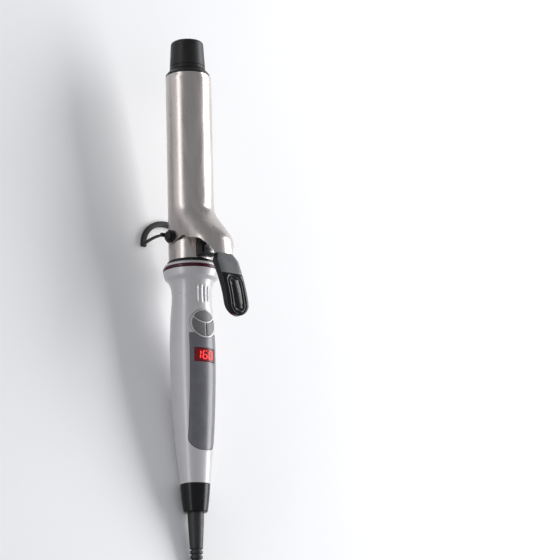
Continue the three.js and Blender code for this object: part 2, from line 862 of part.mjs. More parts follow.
function stand() {
  const outerY = standHalfWidth;
  const innerY = outerY - standBandWidth;
  const arc = [];
  const steps = 14;
  for (let i = 0; i <= steps; i++) {
    const angle = Math.PI * i / steps;
    arc.push([Math.sin(angle), Math.cos(angle)]);
  }
  const outer = arc.map(([s, c]) => [xHinge + standBulge * s, outerY * c]);
  const inner = arc.map(([s, c]) => [xHinge + (standBulge - standBandWidth) * s, innerY * c]).reverse();
  const heel = xHinge - standBandDepth / 2;
  const lowHeel = [[heel, -outerY], [heel, -innerY]];
  const highHeel = [[heel, innerY], [heel, outerY]];
  const plan = polygon([...outer, ...lowHeel, ...inner, ...highHeel]);
  const band = raised(plan, -standBandDepth / 2, standBandDepth / 2);
  band.translate(-xHinge, 0, 0).rotateY(tilt).translate(xHinge, 0, -standDrop);
  let frame = solid(band);
  for (const side of [1, -1]) {
    const armInner = outerY - standArmWidth;
    const eyelet = crosswise(xHinge, 0, eyeletRadius, standEyeInner(), standEyeOuter(), 24);
    const bridge = block(xHinge + 0.6, xHinge + 0.6 + standArmDepth * 1.6, standEyeInner(), outerY,
      -eyeletRadius - 1.4, -hingeHeadRadius - GAP);
    const arm = loft([
      armSection(xHinge + 0.6, -hingeHeadRadius - GAP, armInner, outerY),
      armSection(xHinge + 1.2, -standDrop * 0.4, armInner, outerY),
      armSection(xHinge - standArmDepth / 2, -standDrop, armInner, outerY),
    ]);
    for (const piece of [eyelet, bridge, arm]) frame = frame.add(solid(mirrored(weld(piece), side)));
  }
  return geometryOf(frame.subtract(solid(crosswise(xHinge, 0, hingePinRadius + RUN, -30, 30))));
}

function armSection(x, z, y0, y1) {
  return [[x, y0, z], [x + standArmDepth, y0, z], [x + standArmDepth, y1, z], [x, y1, z]];
}

// The tilt at which the table touches both the stand's foot and the rear part of the iron.
function restTilt() {
  const drop = standDrop + standBandDepth / 2;
  const contacts = [...endCapOutline(), ...handleOutline()];
  const slopes = contacts.map(([x, radius]) => (drop - radius) / (xHinge - x));
  return Math.atan(Math.min(...slopes));
}

// ---------- Cord ----------

function swivelBushing() {
  const radius = handleRearRadius - handleWall - GAP - 1.4 - RUN;
  const x0 = 6 + RUN;
  return turned([
    [x0, 0], [x0, radius], [x0 + 5, radius], [x0 + 5, radius - 2], [x0 + 9, radius - 2], [x0 + 9, 0],
  ], 32);
}

// The moulded strain relief, slimmer towards the cord, with grooves near its end.
function cordGuard() {
  const start = 6;
  const tail = start - guardLength;
  const taper = (x) => smoothstep(0, 1, (start - 6 - x) / (guardLength - 6));
  const radiusAt = (x) => guardRadius + (guardEndRadius - guardRadius) * taper(x);
  const outline = [[tail, guardEndRadius]];
  for (let i = 1; i <= 3; i++) {
    const x = tail + 3.4 * i;
    const floor = radiusAt(x) - 0.9;
    outline.push([x - 1.2, radiusAt(x)], [x - 1.0, floor], [x, floor], [x + 0.2, radiusAt(x)]);
  }
  outline.push([tail + 22, radiusAt(tail + 22)], [0, guardRadius], [start, guardRadius]);
  return turned([[tail, 0], ...outline, [start, 0]], 16);
}

// The tied hank as one body: runs side by side and on each other, with round folds at both ends.
function hankOutline() {
  const radius = hankFold + cordDiameter / 2;
  const shape = new THREE.Shape();
  shape.absarc(hankNear, 0, radius, -Math.PI / 2, Math.PI / 2, false);
  shape.absarc(hankNear - hankRun, 0, radius, Math.PI / 2, 1.5 * Math.PI, false);
  return shape;
}

function hankTop() {
  return hankBase + hankLayers * cordDiameter;
}

function cordTie() {
  const middle = hankNear - hankRun / 2;
  const half = hankFold + cordDiameter / 2 + GAP;
  const outer = block(middle - tieWidth / 2, middle + tieWidth / 2, -half - tieThickness, half + tieThickness,
    hankBase - GAP - tieThickness, hankTop() + GAP + tieThickness);
  const inner = block(middle - tieWidth, middle + tieWidth, -half, half, hankBase - GAP, hankTop() + GAP);
  return geometryOf(solid(outer).subtract(solid(inner)));
}

// The plug lies beside the free cord, on the end that leaves the hank.
function plugBody() {
  const low = hankBase + cordDiameter / 2;
  const high = plugHalfHeight + GAP;
  const end = plugStart + plugReliefLength;
  const stations = [
    [plugStart, 4.2, 4.2, low], [end - 1, 5.2, 5, low + 0.6], [end, 8.5, 5.8, high - 0.6],
    [end + 5, plugHalfWidth, plugHalfHeight, high],
    [end + plugBodyLength - 1.5, plugHalfWidth, plugHalfHeight, high],
    [end + plugBodyLength, plugHalfWidth - 1.2, plugHalfHeight - 1.2, high],
  ];
  return loft(stations.map(([x, halfWidth, halfHeight, z]) => roundRing(x, plugY, z, halfWidth, halfHeight)));
}

function roundRing(x, y, z, halfWidth, halfHeight, count = 20) {
  const ring = [];
  for (let i = 0; i < count; i++) {
    const angle = i * 2 * Math.PI / count;
    const [c, s] = [Math.cos(angle), Math.sin(angle)];
    const square = 0.6;
    ring.push([x, y + halfWidth * Math.sign(c) * Math.abs(c) ** square,
      z + halfHeight * Math.sign(s) * Math.abs(s) ** square]);
  }
  return ring;
}

function plugBlade(side) {
  const start = plugStart + plugReliefLength + plugBodyLength + GAP;
  const y = plugY + side * bladePitch / 2;
  const z = plugHalfHeight + GAP;
  return block(start, start + bladeLength, y - bladeThickness / 2, y + bladeThickness / 2,
    z - bladeWidth / 2, z + bladeWidth / 2);
}

// ---------- Materials ----------

function finish(color, roughness, metalness = 0) {
  return new THREE.MeshStandardMaterial({ color, roughness, metalness });
}

const finishes = {
  barrelMetal: () => finish(0xb9b2ae, 0.28, 1),
  heatBlack: () => finish(0x1d1d1f, 0.55),
  glossBlack: () => finish(0x141416, 0.25),
  pearlWhite: () => finish(0xd6d4d6, 0.35),
  redTrim: () => finish(0x6e0f1c, 0.3),
  panelGrey: () => finish(0x54545c, 0.4),
  buttonGrey: () => finish(0x868689, 0.45),
  displayRed: () => finish(0x5a0a0e, 0.15),
  boardGreen: () => finish(0x1f5a37, 0.6),
  ceramic: () => finish(0xe4e0d6, 0.7),
  aluminium: () => finish(0xb5b8bb, 0.4, 1),
  springSteel: () => finish(0x8b8d90, 0.35, 1),
  cordBlack: () => finish(0x1b1b1d, 0.6),
  brass: () => finish(0xc09a4a, 0.3, 1),
};

function part(group, name, geometry, material) {
  const mesh = new THREE.Mesh(weld(geometry), finishes[material]());
  mesh.name = name;
  group.add(mesh);
  return mesh;
}

function parts(group, names, geometries, material) {
  geometries.forEach((geometry, i) => part(group, names[i], geometry, material));
}

// ---------- Assembly ----------

const curlingIron = new THREE.Group();
const iron = new THREE.Group();
curlingIron.add(iron);

part(iron, "barrel_tube", barrelTube(), "barrelMetal");
part(iron, "tip_flange", tipFlange(), "heatBlack");
part(iron, "tip_cap", tipCap(), "heatBlack");
part(iron, "heater_core", heaterCore(), "ceramic");
part(iron, "heat_spreader_upper", heatSpreader(1), "aluminium");
part(iron, "heat_spreader_lower", heatSpreader(-1), "aluminium");
part(iron, "temperature_sensor", temperatureSensor(), "ceramic");
part(iron, "thermal_fuse", thermalFuse(), "springSteel");
parts(iron, ["heater_lead_left", "heater_lead_right"], heaterLeads(), "cordBlack");
part(iron, "barrel_mount", barrelMount(), "heatBlack");

const rings = frontRings();
part(iron, "red_ring", rings.red, "redTrim");
part(iron, "rim_ring", rings.rim, "pearlWhite");
part(iron, "heat_ring", rings.heat, "heatBlack");

part(iron, "spring_housing", springHousing(), "heatBlack");
part(iron, "clamp_spring", clampSpring(), "springSteel");
part(iron, "hinge_rivet_left", hingeRivet(1), "heatBlack");
part(iron, "hinge_rivet_right", hingeRivet(-1), "heatBlack");

part(iron, "clamp", clamp(), "barrelMetal");
part(iron, "lever_lining", leverLining(), "heatBlack");
part(iron, "thumb_pad", thumbPad(), "glossBlack");
part(iron, "stand", stand(), "heatBlack");

const shells = handleShells();
part(iron, "handle_upper", shells.upper, "pearlWhite");
part(iron, "handle_lower", shells.lower, "pearlWhite");
parts(iron, ["handle_screw_rear", "handle_screw_front"], handleScrews(), "springSteel");
part(iron, "end_cap", endCap(), "glossBlack");
part(iron, "control_panel", controlPanel(), "panelGrey");
part(iron, "display_window", displayWindow(), "displayRed");
part(iron, "display_module", displayModule(), "heatBlack");
part(iron, "button_bezel", buttonBezel(), "pearlWhite");
parts(iron, ["power_button", "plus_button", "minus_button"], buttons(), "buttonGrey");
parts(iron, ["power_switch", "plus_switch", "minus_switch"], tactSwitches(), "heatBlack");
part(iron, "control_board", controlBoard(), "boardGreen");
part(iron, "power_module", powerModule(), "heatBlack");

part(iron, "swivel_bushing", swivelBushing(), "heatBlack");
part(iron, "cord_guard", cordGuard(), "cordBlack");

// Stand the tilted iron on the table, with the origin under the middle of its box.
iron.rotation.y = -tilt;
iron.updateMatrixWorld(true);
const box = new THREE.Box3().setFromObject(iron, true);
iron.position.set(-(box.min.x + box.max.x) / 2, 0, -box.min.z);

// The free cord and what is on it lie in the table's frame.
part(curlingIron, "cord", tubeAlong(cordRoute, cordDiameter / 2, 8, cordSteps), "cordBlack");
part(curlingIron, "cord_hank", raised(hankOutline(), hankBase, hankTop()), "cordBlack");
part(curlingIron, "cord_tie", cordTie(), "cordBlack");
part(curlingIron, "plug_body", plugBody(), "cordBlack");
part(curlingIron, "plug_blade_left", plugBlade(1), "brass");
part(curlingIron, "plug_blade_right", plugBlade(-1), "brass");

export default curlingIron;
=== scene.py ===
"""Curling iron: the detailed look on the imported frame, as an add-on with an operator for each piece."""

import math

import bmesh
import bpy
from bpy.props import FloatProperty, FloatVectorProperty, IntProperty, PointerProperty, StringProperty
from mathutils import Matrix, Vector


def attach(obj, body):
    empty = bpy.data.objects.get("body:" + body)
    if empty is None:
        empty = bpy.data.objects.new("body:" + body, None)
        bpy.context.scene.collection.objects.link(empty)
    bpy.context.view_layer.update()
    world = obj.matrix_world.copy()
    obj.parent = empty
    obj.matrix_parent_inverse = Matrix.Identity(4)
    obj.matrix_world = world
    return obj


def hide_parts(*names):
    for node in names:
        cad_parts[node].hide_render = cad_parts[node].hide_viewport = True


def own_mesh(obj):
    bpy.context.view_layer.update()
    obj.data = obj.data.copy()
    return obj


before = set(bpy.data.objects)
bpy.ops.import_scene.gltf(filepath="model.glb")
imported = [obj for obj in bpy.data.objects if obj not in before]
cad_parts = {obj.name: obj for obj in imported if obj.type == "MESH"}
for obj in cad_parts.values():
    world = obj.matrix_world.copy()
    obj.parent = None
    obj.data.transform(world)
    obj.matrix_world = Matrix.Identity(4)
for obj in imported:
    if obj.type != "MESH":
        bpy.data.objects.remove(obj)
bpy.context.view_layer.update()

bl_info = {
    "name": "Curling iron",
    "version": (1, 0, 0),
    "blender": (4, 5, 0),
    "location": "3D View > Sidebar > Curling iron",
    "description": "Builds the detailed look of a curling iron on its packed frame",
    "category": "Object",
}

# The iron's own frame, in millimetres: x from the handle's rear end to the tip, z towards the lever.
TILT = math.radians(6.4125016633066)
REAR_END = Vector((-154.90673, 0.0, 8.66502))
METRE = 0.001
TABLE = Matrix.Scale(METRE, 4)
IRON = TABLE @ Matrix.Translation(REAR_END) @ Matrix.Rotation(-TILT, 4, "Y")

# Places along the iron, in millimetres.
X_HANDLE = (20.0, 173.7)
X_RINGS = 174.0
X_RINGS_FRONT = 181.2
X_HINGE = 198.3
X_CREASE = 222.3
X_LEVER_END = 179.3
X_FLANGE = 320.7
X_TIP = 325.2
X_END = 347.7
X_BUTTONS = 133.5
X_WINDOW = 110.5
X_PANEL_REAR = 43.0
CLAMP_FRONT = 318.7
CLAMP_OUTER = 17.15
CLAMP_INNER = 16.35
LEVER_RISE = 24.2
BARREL = 16.0
BARREL_BORE = 14.8
COLLAR = 20.3
HANDLE_WALL = 2.2
GAP = 0.3
# Gap and thickness of the black sheet under the lever: painted shade for the lever's shaded underside.
SHADE_SHEET_GAP = 0.9
SHADE_SHEET = 1.6
BUTTON_RING = 9.2
BUTTON_LENS = 10
BUTTON_LENS_FRONT = 11.5
BEZEL_HOLE = 10.8
WINDOW_HALF = (4.8, 8.4)
SCREWS_X = (34, 151.7)
BARREL_HOLE = 2.1
RIVET_HOLE = 2.2
GUARD_LENGTH = 36
LAYER_FACETS = 144

HANDLE_OUTLINE = [
    (20, 10.8), (54.2, 13.99), (85.6, 15.84), (115.7, 16.4), (138.9, 15.55),
    (156.7, 14.3), (165.45, 16.1), (168.75, 18.9), (173.7, 20.3),
]

# The free cord, in millimetres in the table's frame.
CORD_ROUTE = [
    (-190.96, 0, 4.56), (-196, 0, 4.1), (-201, 0.4, 3.8), (-206, 1.4, 3.6), (-211, 3, 3.5),
    (-216, 5.2, 3.5), (-222, 8.3, 3.5), (-228, 11.8, 3.5), (-234, 15.2, 3.6), (-240, 18.5, 3.8),
    (-246, 21.3, 4.1), (-252, 23.5, 4.4), (-258, 24.9, 4.7), (-264, 25.5, 4.8), (-270.9, 25.6, 4.8),
]
CORD_DIAMETER = 6.4
HANK_NEAR = -290.0
HANK_FAR = -393.8
HANK_OUTER = 25.6
HANK_INNER = 19.2
HANK_LAYERS = (4.8, 11.2, 17.6)
PLUG_START = -264.8
PLUG_Y = -19.2
PLUG_Z = 7.3

# The studio, in metres.
AIM_RIGHT = 0.0642
AIM_DOWN = 0.0289
KEY_LIGHT = {"at": (0.1, -1.32, 0.70), "aim": (0.02, 0, 0.03), "size": (2.0, 0.85)}
FILL_LIGHT = {"at": (0.2, 1.5, 0.32), "aim": (0, 0, 0.03), "size": (2.2, 0.4)}
FILL_SHARE = 0.22
FLOOR_REACH = 6.0


# ---------- Settings ----------

def colour(name, description, default):
    return FloatVectorProperty(name=name, description=description, default=default, size=3,
                               min=0.0, max=1.0, subtype="COLOR")


class IronColours(bpy.types.PropertyGroup):
    """Colours of the curling iron's finishes."""

    metal: colour("Metal", "Satin metal of the barrel and the clamp", (0.50, 0.46, 0.44))
    handle: colour("Handle", "Pearl plastic of the handle", (0.50, 0.488, 0.50))
    trim: colour("Trim", "Ring between the handle and the barrel", (0.055, 0.004, 0.012))
    panel: colour("Panel", "Inset panel of the handle", (0.13, 0.13, 0.145))
    buttons: colour("Buttons", "Three buttons", (0.15, 0.15, 0.153))
    black: colour("Black parts", "Heat-proof plastic of tip, stand and rivets", (0.009, 0.009, 0.0095))
    gloss: colour("Gloss black", "Thumb pad and end cap", (0.0055, 0.0055, 0.007))
    # Grey for the front of the thumb pad's top face: a painted reflection on the gloss black, not the pad's own
    # colour.
    pad_painted_reflection: colour("Pad face", "Smooth front of the thumb pad", (0.135, 0.138, 0.142))
    display: colour("Display", "Window over the display", (0.11, 0.004, 0.006))
    digits: colour("Digits", "Lit digits of the display", (1.0, 0.03, 0.03))
    floor: colour("Floor", "Plain floor of the stage", (0.93, 0.93, 0.935))


class IronShape(bpy.types.PropertyGroup):
    """Sizes of the curling iron's detail."""

    facets: IntProperty(name="Facets", description="Facets of a round piece", default=96, min=24, max=256)
    flute: FloatProperty(name="Flute depth", description="Depth of the ridges under the thumb", default=0.00055,
                         min=0.0, max=0.001, precision=5, unit="LENGTH", subtype="DISTANCE")
    groove: FloatProperty(name="Pad grooves", description="Depth of the thumb pad's oval grooves",
                          default=0.0006, min=0.0, max=0.001, precision=5, unit="LENGTH", subtype="DISTANCE")
    reading: StringProperty(name="Reading", description="Digits on the display", default="160", maxlen=3)


class IronStudio(bpy.types.PropertyGroup):
    """Camera, lights and floor of the curling iron."""

    lens: FloatProperty(name="Lens", description="Focal length", default=188.0, min=20, max=400,
                        unit="CAMERA")
    distance: FloatProperty(name="Distance", description="Camera to hinge", default=2.1, min=0.5, max=5,
                            unit="LENGTH", subtype="DISTANCE")
    turn: FloatProperty(name="Turn", description="Camera's turn about the iron's axis",
                        default=math.radians(37.5), unit="ROTATION", subtype="ANGLE")
    lean: FloatProperty(name="Lean", description="Camera's lean towards the handle",
                        default=math.radians(14), unit="ROTATION", subtype="ANGLE")
    roll: FloatProperty(name="Roll", description="Camera's roll", default=math.radians(1.5),
                        unit="ROTATION", subtype="ANGLE")
    key: FloatProperty(name="Key light", description="Power of the key light", default=34.0, min=0,
                       unit="POWER")


def shape_of(context):
    return context.scene.iron_shape


def colours_of(context):
    return context.scene.iron_colours


# ---------- Materials ----------

CLOUD_RANGE = (0.3, 0.7)


def ramp(nodes, dark, light):
    node = nodes.new("ShaderNodeValToRGB")
    for stop, position, shade in zip(node.color_ramp.elements, CLOUD_RANGE, (dark, light)):
        stop.position = position
        stop.color = (*shade, 1)
    return node


def put(node, **values):
    """Sets the node's sockets, each named with _ for a space."""
    for socket, value in values.items():
        node.inputs[socket.replace("_", " ")].default_value = value


def noise(nodes, links, coordinates, scale, detail):
    node = nodes.new("ShaderNodeTexNoise")
    put(node, Scale=scale, Detail=detail)
    links.new(coordinates, node.inputs["Vector"])
    return node


def spread(nodes, links, value, low, high):
    node = nodes.new("ShaderNodeMapRange")
    put(node, From_Min=CLOUD_RANGE[0], From_Max=CLOUD_RANGE[1], To_Min=low, To_Max=high)
    links.new(value, node.inputs["Value"])
    return node.outputs["Result"]


def tinted(base, factor):
    return tuple(min(1.0, c * factor) for c in base)


def finish(name, base, rough=(0.3, 0.4), metallic=0.0, variation=0.08, cloud=90.0, grain=2600.0, bump=0.15,
           depth=0.00004, stretch=(1, 1, 1), coat=0.0, flake=0.0, worn=0.0, glow=0.0, shine=0.5):
    """A moulded or metal surface: clouded colour, uneven gloss and a fine grain."""
    name += "_finish"
    if name in bpy.data.materials:
        return bpy.data.materials[name]
    material = bpy.data.materials.new(name)
    material.use_nodes = True
    material.diffuse_color = (*base, 1)
    nodes, links = material.node_tree.nodes, material.node_tree.links
    surface = nodes["Principled BSDF"]
    place = nodes.new("ShaderNodeTexCoord")
    mapping = nodes.new("ShaderNodeMapping")
    put(mapping, Rotation=(0, TILT, 0), Scale=stretch)
    links.new(place.outputs["Object"], mapping.inputs["Vector"])
    where = mapping.outputs["Vector"]
    cloudy = noise(nodes, links, where, cloud, 6.0)
    grainy = noise(nodes, links, where, grain, 3.0)
    tint = ramp(nodes, tinted(base, 1 - variation), tinted(base, 1 + variation))
    links.new(cloudy.outputs["Fac"], tint.inputs["Fac"])
    shade = tint.outputs["Color"]
    if worn:
        edges = nodes.new("ShaderNodeNewGeometry")
        rub = nodes.new("ShaderNodeMapRange")
        put(rub, From_Min=0.52, From_Max=0.62, To_Max=worn)
        links.new(edges.outputs["Pointiness"], rub.inputs["Value"])
        mix = nodes.new("ShaderNodeMixRGB")
        put(mix, Color2=(*tinted(base, 3.0), 1))
        links.new(rub.outputs["Result"], mix.inputs["Fac"])
        links.new(shade, mix.inputs["Color1"])
        shade = mix.outputs["Color"]
    links.new(shade, surface.inputs["Base Color"])
    links.new(spread(nodes, links, cloudy.outputs["Fac"], *rough), surface.inputs["Roughness"])
    relief = nodes.new("ShaderNodeBump")
    put(relief, Strength=bump, Distance=depth)
    links.new(grainy.outputs["Fac"], relief.inputs["Height"])
    links.new(relief.outputs["Normal"], surface.inputs["Normal"])
    put(surface, Metallic=metallic, Specular_IOR_Level=shine, Coat_Weight=coat, Coat_Roughness=0.12)
    if flake:
        cells = nodes.new("ShaderNodeTexVoronoi")
        put(cells, Scale=3500)
        links.new(where, cells.inputs["Vector"])
        glint = spread(nodes, links, cells.outputs["Distance"], 0.0, flake)
        links.new(glint, surface.inputs["Metallic"])
    if glow:
        links.new(shade, surface.inputs["Emission Color"])
        put(surface, Emission_Strength=glow)
    return material


def metal(context):
    return finish("satin_metal", colours_of(context).metal, rough=(0.24, 0.33), metallic=1.0, variation=0.06,
                  cloud=260, grain=5200, bump=0.05, depth=0.00002, stretch=(0.12, 1, 1))


def black(context):
    return finish("heat_plastic", colours_of(context).black, rough=(0.38, 0.5), variation=0.25, cloud=140,
                  grain=3000, bump=0.25, worn=0.25, shine=0.3)


def gloss(context):
    return finish("gloss_black", colours_of(context).gloss, rough=(0.14, 0.26), variation=0.2, cloud=60,
                  grain=900, bump=0.05, coat=0.04, worn=0.25, shine=0.22)


# Material of the painted reflection on the front of the thumb pad's top face.
def pad_painted_reflection(context):
    return finish("pad_painted_reflection", colours_of(context).pad_painted_reflection, rough=(0.25, 0.36), variation=0.12, cloud=110,
                  grain=2600, bump=0.1, coat=0.05, shine=0.3)


def pearl(context):
    return finish("pearl_plastic", colours_of(context).handle, rough=(0.27, 0.36), variation=0.025, cloud=45,
                  grain=2200, bump=0.05, coat=0.35, flake=0.22)


def red(context):
    return finish("red_trim", colours_of(context).trim, rough=(0.2, 0.32), variation=0.15, cloud=120,
                  grain=2400, bump=0.08, coat=0.1, shine=0.25)


def panel_grey(context):
    return finish("panel_grey", colours_of(context).panel, rough=(0.32, 0.42), variation=0.1, cloud=120,
                  grain=3400, bump=0.12, flake=0.35, coat=0.15)


def button_grey(context):
    return finish("button_grey", colours_of(context).buttons, rough=(0.36, 0.46), variation=0.08, cloud=200,
                  grain=3800, bump=0.25, flake=0.1, shine=0.3)


def window_red(context):
    return finish("display_window", colours_of(context).display, rough=(0.22, 0.32), variation=0.2, cloud=80,
                  grain=1200, bump=0.03, coat=0.05, shine=0.25, glow=0.25)


def lit(context):
    return finish("lit_digits", colours_of(context).digits, rough=(0.3, 0.4), variation=0.15, cloud=900,
                  grain=2000, bump=0.05, shine=0.1, glow=3.2)


def rubber():
    return finish("cord_rubber", (0.013, 0.013, 0.014), rough=(0.42, 0.55), variation=0.25, cloud=160,
                  grain=2800, bump=0.3)


def steel():
    return finish("spring_steel", (0.34, 0.34, 0.35), rough=(0.28, 0.4), metallic=1.0, variation=0.12,
                  cloud=400, grain=4200, bump=0.15, stretch=(0.3, 1, 1))


def brass():
    return finish("plug_brass", (0.55, 0.36, 0.13), rough=(0.2, 0.34), metallic=1.0, variation=0.1, cloud=300,
                  grain=3600, bump=0.12)


# ---------- Geometry, in millimetres ----------

def smoothstep(low, high, value):
    t = min(1.0, max(0.0, (value - low) / (high - low)))
    return t * t * (3 - 2 * t)


def lerp(a, b, t):
    return a + (b - a) * t


def spline(points, samples):
    """A smooth curve through the points, in any number of dimensions."""
    def tangent(i):
        if i == 0 or i == len(points) - 1:
            return None
        return [(b - a) / 2 for a, b in zip(points[i - 1], points[i + 1])]

    out = []
    spans = len(points) - 1
    for k in range(samples + 1):
        at = spans * k / samples
        i = min(int(at), spans - 1)
        t = at - i
        p, q = points[i], points[i + 1]
        m = tangent(i) or [b - a for a, b in zip(p, q)]
        n = tangent(i + 1) or [b - a for a, b in zip(p, q)]
        h = (2 * t**3 - 3 * t**2 + 1, t**3 - 2 * t**2 + t, -2 * t**3 + 3 * t**2, t**3 - t**2)
        out.append(tuple(h[0] * a + h[1] * c + h[2] * b + h[3] * d for a, b, c, d in zip(p, q, m, n)))
    return out


def eased(points, radius, closed=False, steps=3):
    """The outline with its corners rounded to a radius."""
    count = len(points)
    out = []
    for i, point in enumerate(points):
        if not closed and i in (0, count - 1):
            out.append(point)
            continue
        here = Vector(point)
        back = Vector(points[i - 1]) - here
        ahead = Vector(points[(i + 1) % count]) - here
        if back.angle(ahead, math.pi) > math.radians(160):
            out.append(point)
            continue
        reach = min(radius, back.length * 0.45, ahead.length * 0.45)
        start, end = here + back.normalized() * reach, here + ahead.normalized() * reach
        for k in range(steps + 1):
            t = k / steps
            out.append(tuple((1 - t) ** 2 * start + 2 * t * (1 - t) * here + t * t * end))
    return out


def revolve(points, facets, closed=False, offset=None):
    """A body turned about the x axis from (x, radius) points. Ends at radius 0 unless it is closed."""
    vertices, faces, rings = [], [], []
    for x, radius in points:
        if radius <= 1e-6:
            rings.append([len(vertices)])
            vertices.append((x, 0, 0))
            continue
        rings.append(list(range(len(vertices), len(vertices) + facets)))
        for k in range(facets):
            angle = 2 * math.pi * k / facets
            r = radius + (offset(x, angle, radius) if offset else 0)
            vertices.append((x, r * math.sin(angle), r * math.cos(angle)))
    pairs = list(zip(rings, rings[1:])) + ([(rings[-1], rings[0])] if closed else [])
    for a, b in pairs:
        for k in range(facets):
            n = (k + 1) % facets
            if len(a) == 1:
                faces.append((a[0], b[k], b[n]))
            elif len(b) == 1:
                faces.append((a[k], b[0], a[n]))
            else:
                faces.append((a[k], b[k], b[n], a[n]))
    return vertices, faces


def sleeve(points, bore, facets, radius=0.3):
    ring = [(points[0][0], bore), *points, (points[-1][0], bore)]
    return revolve(eased(ring, radius, closed=True), facets, closed=True)


def prism(outline, low, high, axis="Z"):
    """A flat outline raised along z, or along y from an outline of (x, z) points."""
    if axis == "Z":
        return loft([[(a, b, level) for a, b in outline] for level in (low, high)])
    return loft([[(a, level, b) for a, b in outline] for level in (low, high)])


def skin(columns, rows, outer, inner):
    """A closed skin between two grids of points."""
    across = rows + 1
    vertices = [side(i / columns, j / rows) for side in (outer, inner)
                for i in range(columns + 1) for j in range(rows + 1)]
    back = (columns + 1) * across
    faces = []
    for i in range(columns):
        for j in range(rows):
            a = i * across + j
            quad = (a, a + 1, a + across + 1, a + across)
            faces += [quad, tuple(back + v for v in quad)]
    for i in range(columns):
        for a in (i * across, i * across + rows):
            faces.append((a, a + across, back + a + across, back + a))
    for j in range(rows):
        for a in (j, columns * across + j):
            faces.append((a, a + 1, back + a + 1, back + a))
    return vertices, faces


def loft(rings):
    """A closed body through the rings, each with as many points."""
    count = len(rings[0])
    vertices = [point for ring in rings for point in ring]
    faces = [tuple(range(count)), tuple(range((len(rings) - 1) * count, len(rings) * count))]
    for i in range(len(rings) - 1):
        for k in range(count):
            a, b = i * count + k, i * count + (k + 1) % count
            faces.append((a, b, b + count, a + count))
    return vertices, faces


def box(x0, x1, y0, y1, z0, z1):
    return prism([(x0, y0), (x1, y0), (x1, y1), (x0, y1)], z0, z1)


def circle(x, y, radius, facets):
    turns = [2 * math.pi * k / facets for k in range(facets)]
    return [(x + radius * math.cos(angle), y + radius * math.sin(angle)) for angle in turns]


def disc(x, y, radius, z0, z1, facets=96):
    return prism(circle(x, y, radius, facets), z0, z1)


def crosswise(x, z, radius, y0, y1, facets=64):
    return prism(circle(x, z, radius, facets), y0, y1, axis="Y")


def body(shape, name="shape"):
    """An object of the shape, with its faces turned out."""
    mesh = bpy.data.meshes.new(name)
    mesh.from_pydata([tuple(v) for v in shape[0]], [], shape[1])
    work = bmesh.new()
    work.from_mesh(mesh)
    bmesh.ops.remove_doubles(work, verts=work.verts, dist=1e-5)
    bmesh.ops.dissolve_degenerate(work, edges=work.edges, dist=1e-6)
    bmesh.ops.recalc_face_normals(work, faces=work.faces)
    work.to_mesh(mesh)
    work.free()
    made = bpy.data.objects.new(name, mesh)
    bpy.context.scene.collection.objects.link(made)
    return made


def settled(obj):
    """Applies the object's modifiers."""
    graph = bpy.context.evaluated_depsgraph_get()
    mesh = bpy.data.meshes.new_from_object(obj.evaluated_get(graph))
    obj.modifiers.clear()
    obj.data = mesh
    return obj


def cut(obj, shape, operation="DIFFERENCE"):
    """Cuts the object with a shape, keeps what they share, or joins them."""
    cutter = body(shape, "cutter")
    step = obj.modifiers.new("cut", "BOOLEAN")
    step.object = cutter
    step.operation = operation
    step.solver = "EXACT"
    settled(obj)
    bpy.data.objects.remove(cutter)
    if not obj.data.polygons:
        raise RuntimeError("nothing is left of a piece after a cut")
    return obj


def taken(obj):
    """The object's shape as points and faces. The object itself is removed."""
    shape = [tuple(v.co) for v in obj.data.vertices], [tuple(f.vertices) for f in obj.data.polygons]
    bpy.data.objects.remove(obj)
    return shape


def bevelled(obj, width, segments=2, angle=40):
    step = obj.modifiers.new("bevel", "BEVEL")
    step.width = width
    step.segments = segments
    step.limit_method = "ANGLE"
    step.angle_limit = math.radians(angle)
    step.use_clamp_overlap = True
    return settled(obj)


def piece(obj, name, materials, rides, replaces=(), place=IRON, sharp=32):
    """Names a shape, puts it in the row frame and hands it to the frame."""
    obj.name = obj.data.name = name
    obj.data.transform(place)
    obj.data.shade_smooth()
    obj.data.set_sharp_from_angle(angle=math.radians(sharp))
    for material in materials if isinstance(materials, list) else [materials]:
        obj.data.materials.append(material)
    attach(obj, rides)
    if replaces:
        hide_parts(*replaces)
    return obj


# ---------- Shapes shared by several pieces ----------

def handle_outline(samples=120):
    return spline(HANDLE_OUTLINE, samples)


def handle_radius(x):
    outline = handle_outline()
    for (x0, r0), (x1, r1) in zip(outline, outline[1:]):
        if x <= x1:
            return lerp(r0, r1, (x - x0) / (x1 - x0))
    return outline[-1][1]


def handle_layer(inner, outer, low, high):
    """A layer of the handle's skin between two depths under its surface."""
    line = [p for p in handle_outline() if low - 3 <= p[0] <= high + 3]
    ring = [(x, r - outer) for x, r in line] + [(x, r - inner) for x, r in reversed(line)]
    return revolve(ring, LAYER_FACETS, closed=True)


def arc(x, y, radius, start, end, steps):
    turns = [lerp(start, end, k / steps) for k in range(steps + 1)]
    return [(x + radius * math.cos(angle), y + radius * math.sin(angle)) for angle in turns]


def panel_outline(grow=0.0):
    """Straight sides, a round rear end, and a hollow round the buttons."""
    half, corner, reach = 10.9 + grow, 9.0, 7
    front, rear = X_BUTTONS - reach, X_PANEL_REAR - grow
    points = [(front, half)]
    points += arc(rear + corner, half - corner, corner, math.pi / 2, math.pi, 12)
    points += arc(rear + corner, corner - half, corner, math.pi, 1.5 * math.pi, 12)
    points.append((front, -half))
    if grow == 0:
        angle = math.acos(reach / BEZEL_HOLE)
        points += arc(X_BUTTONS, 0, BEZEL_HOLE, math.pi + angle, math.pi - angle, 24)
    return points


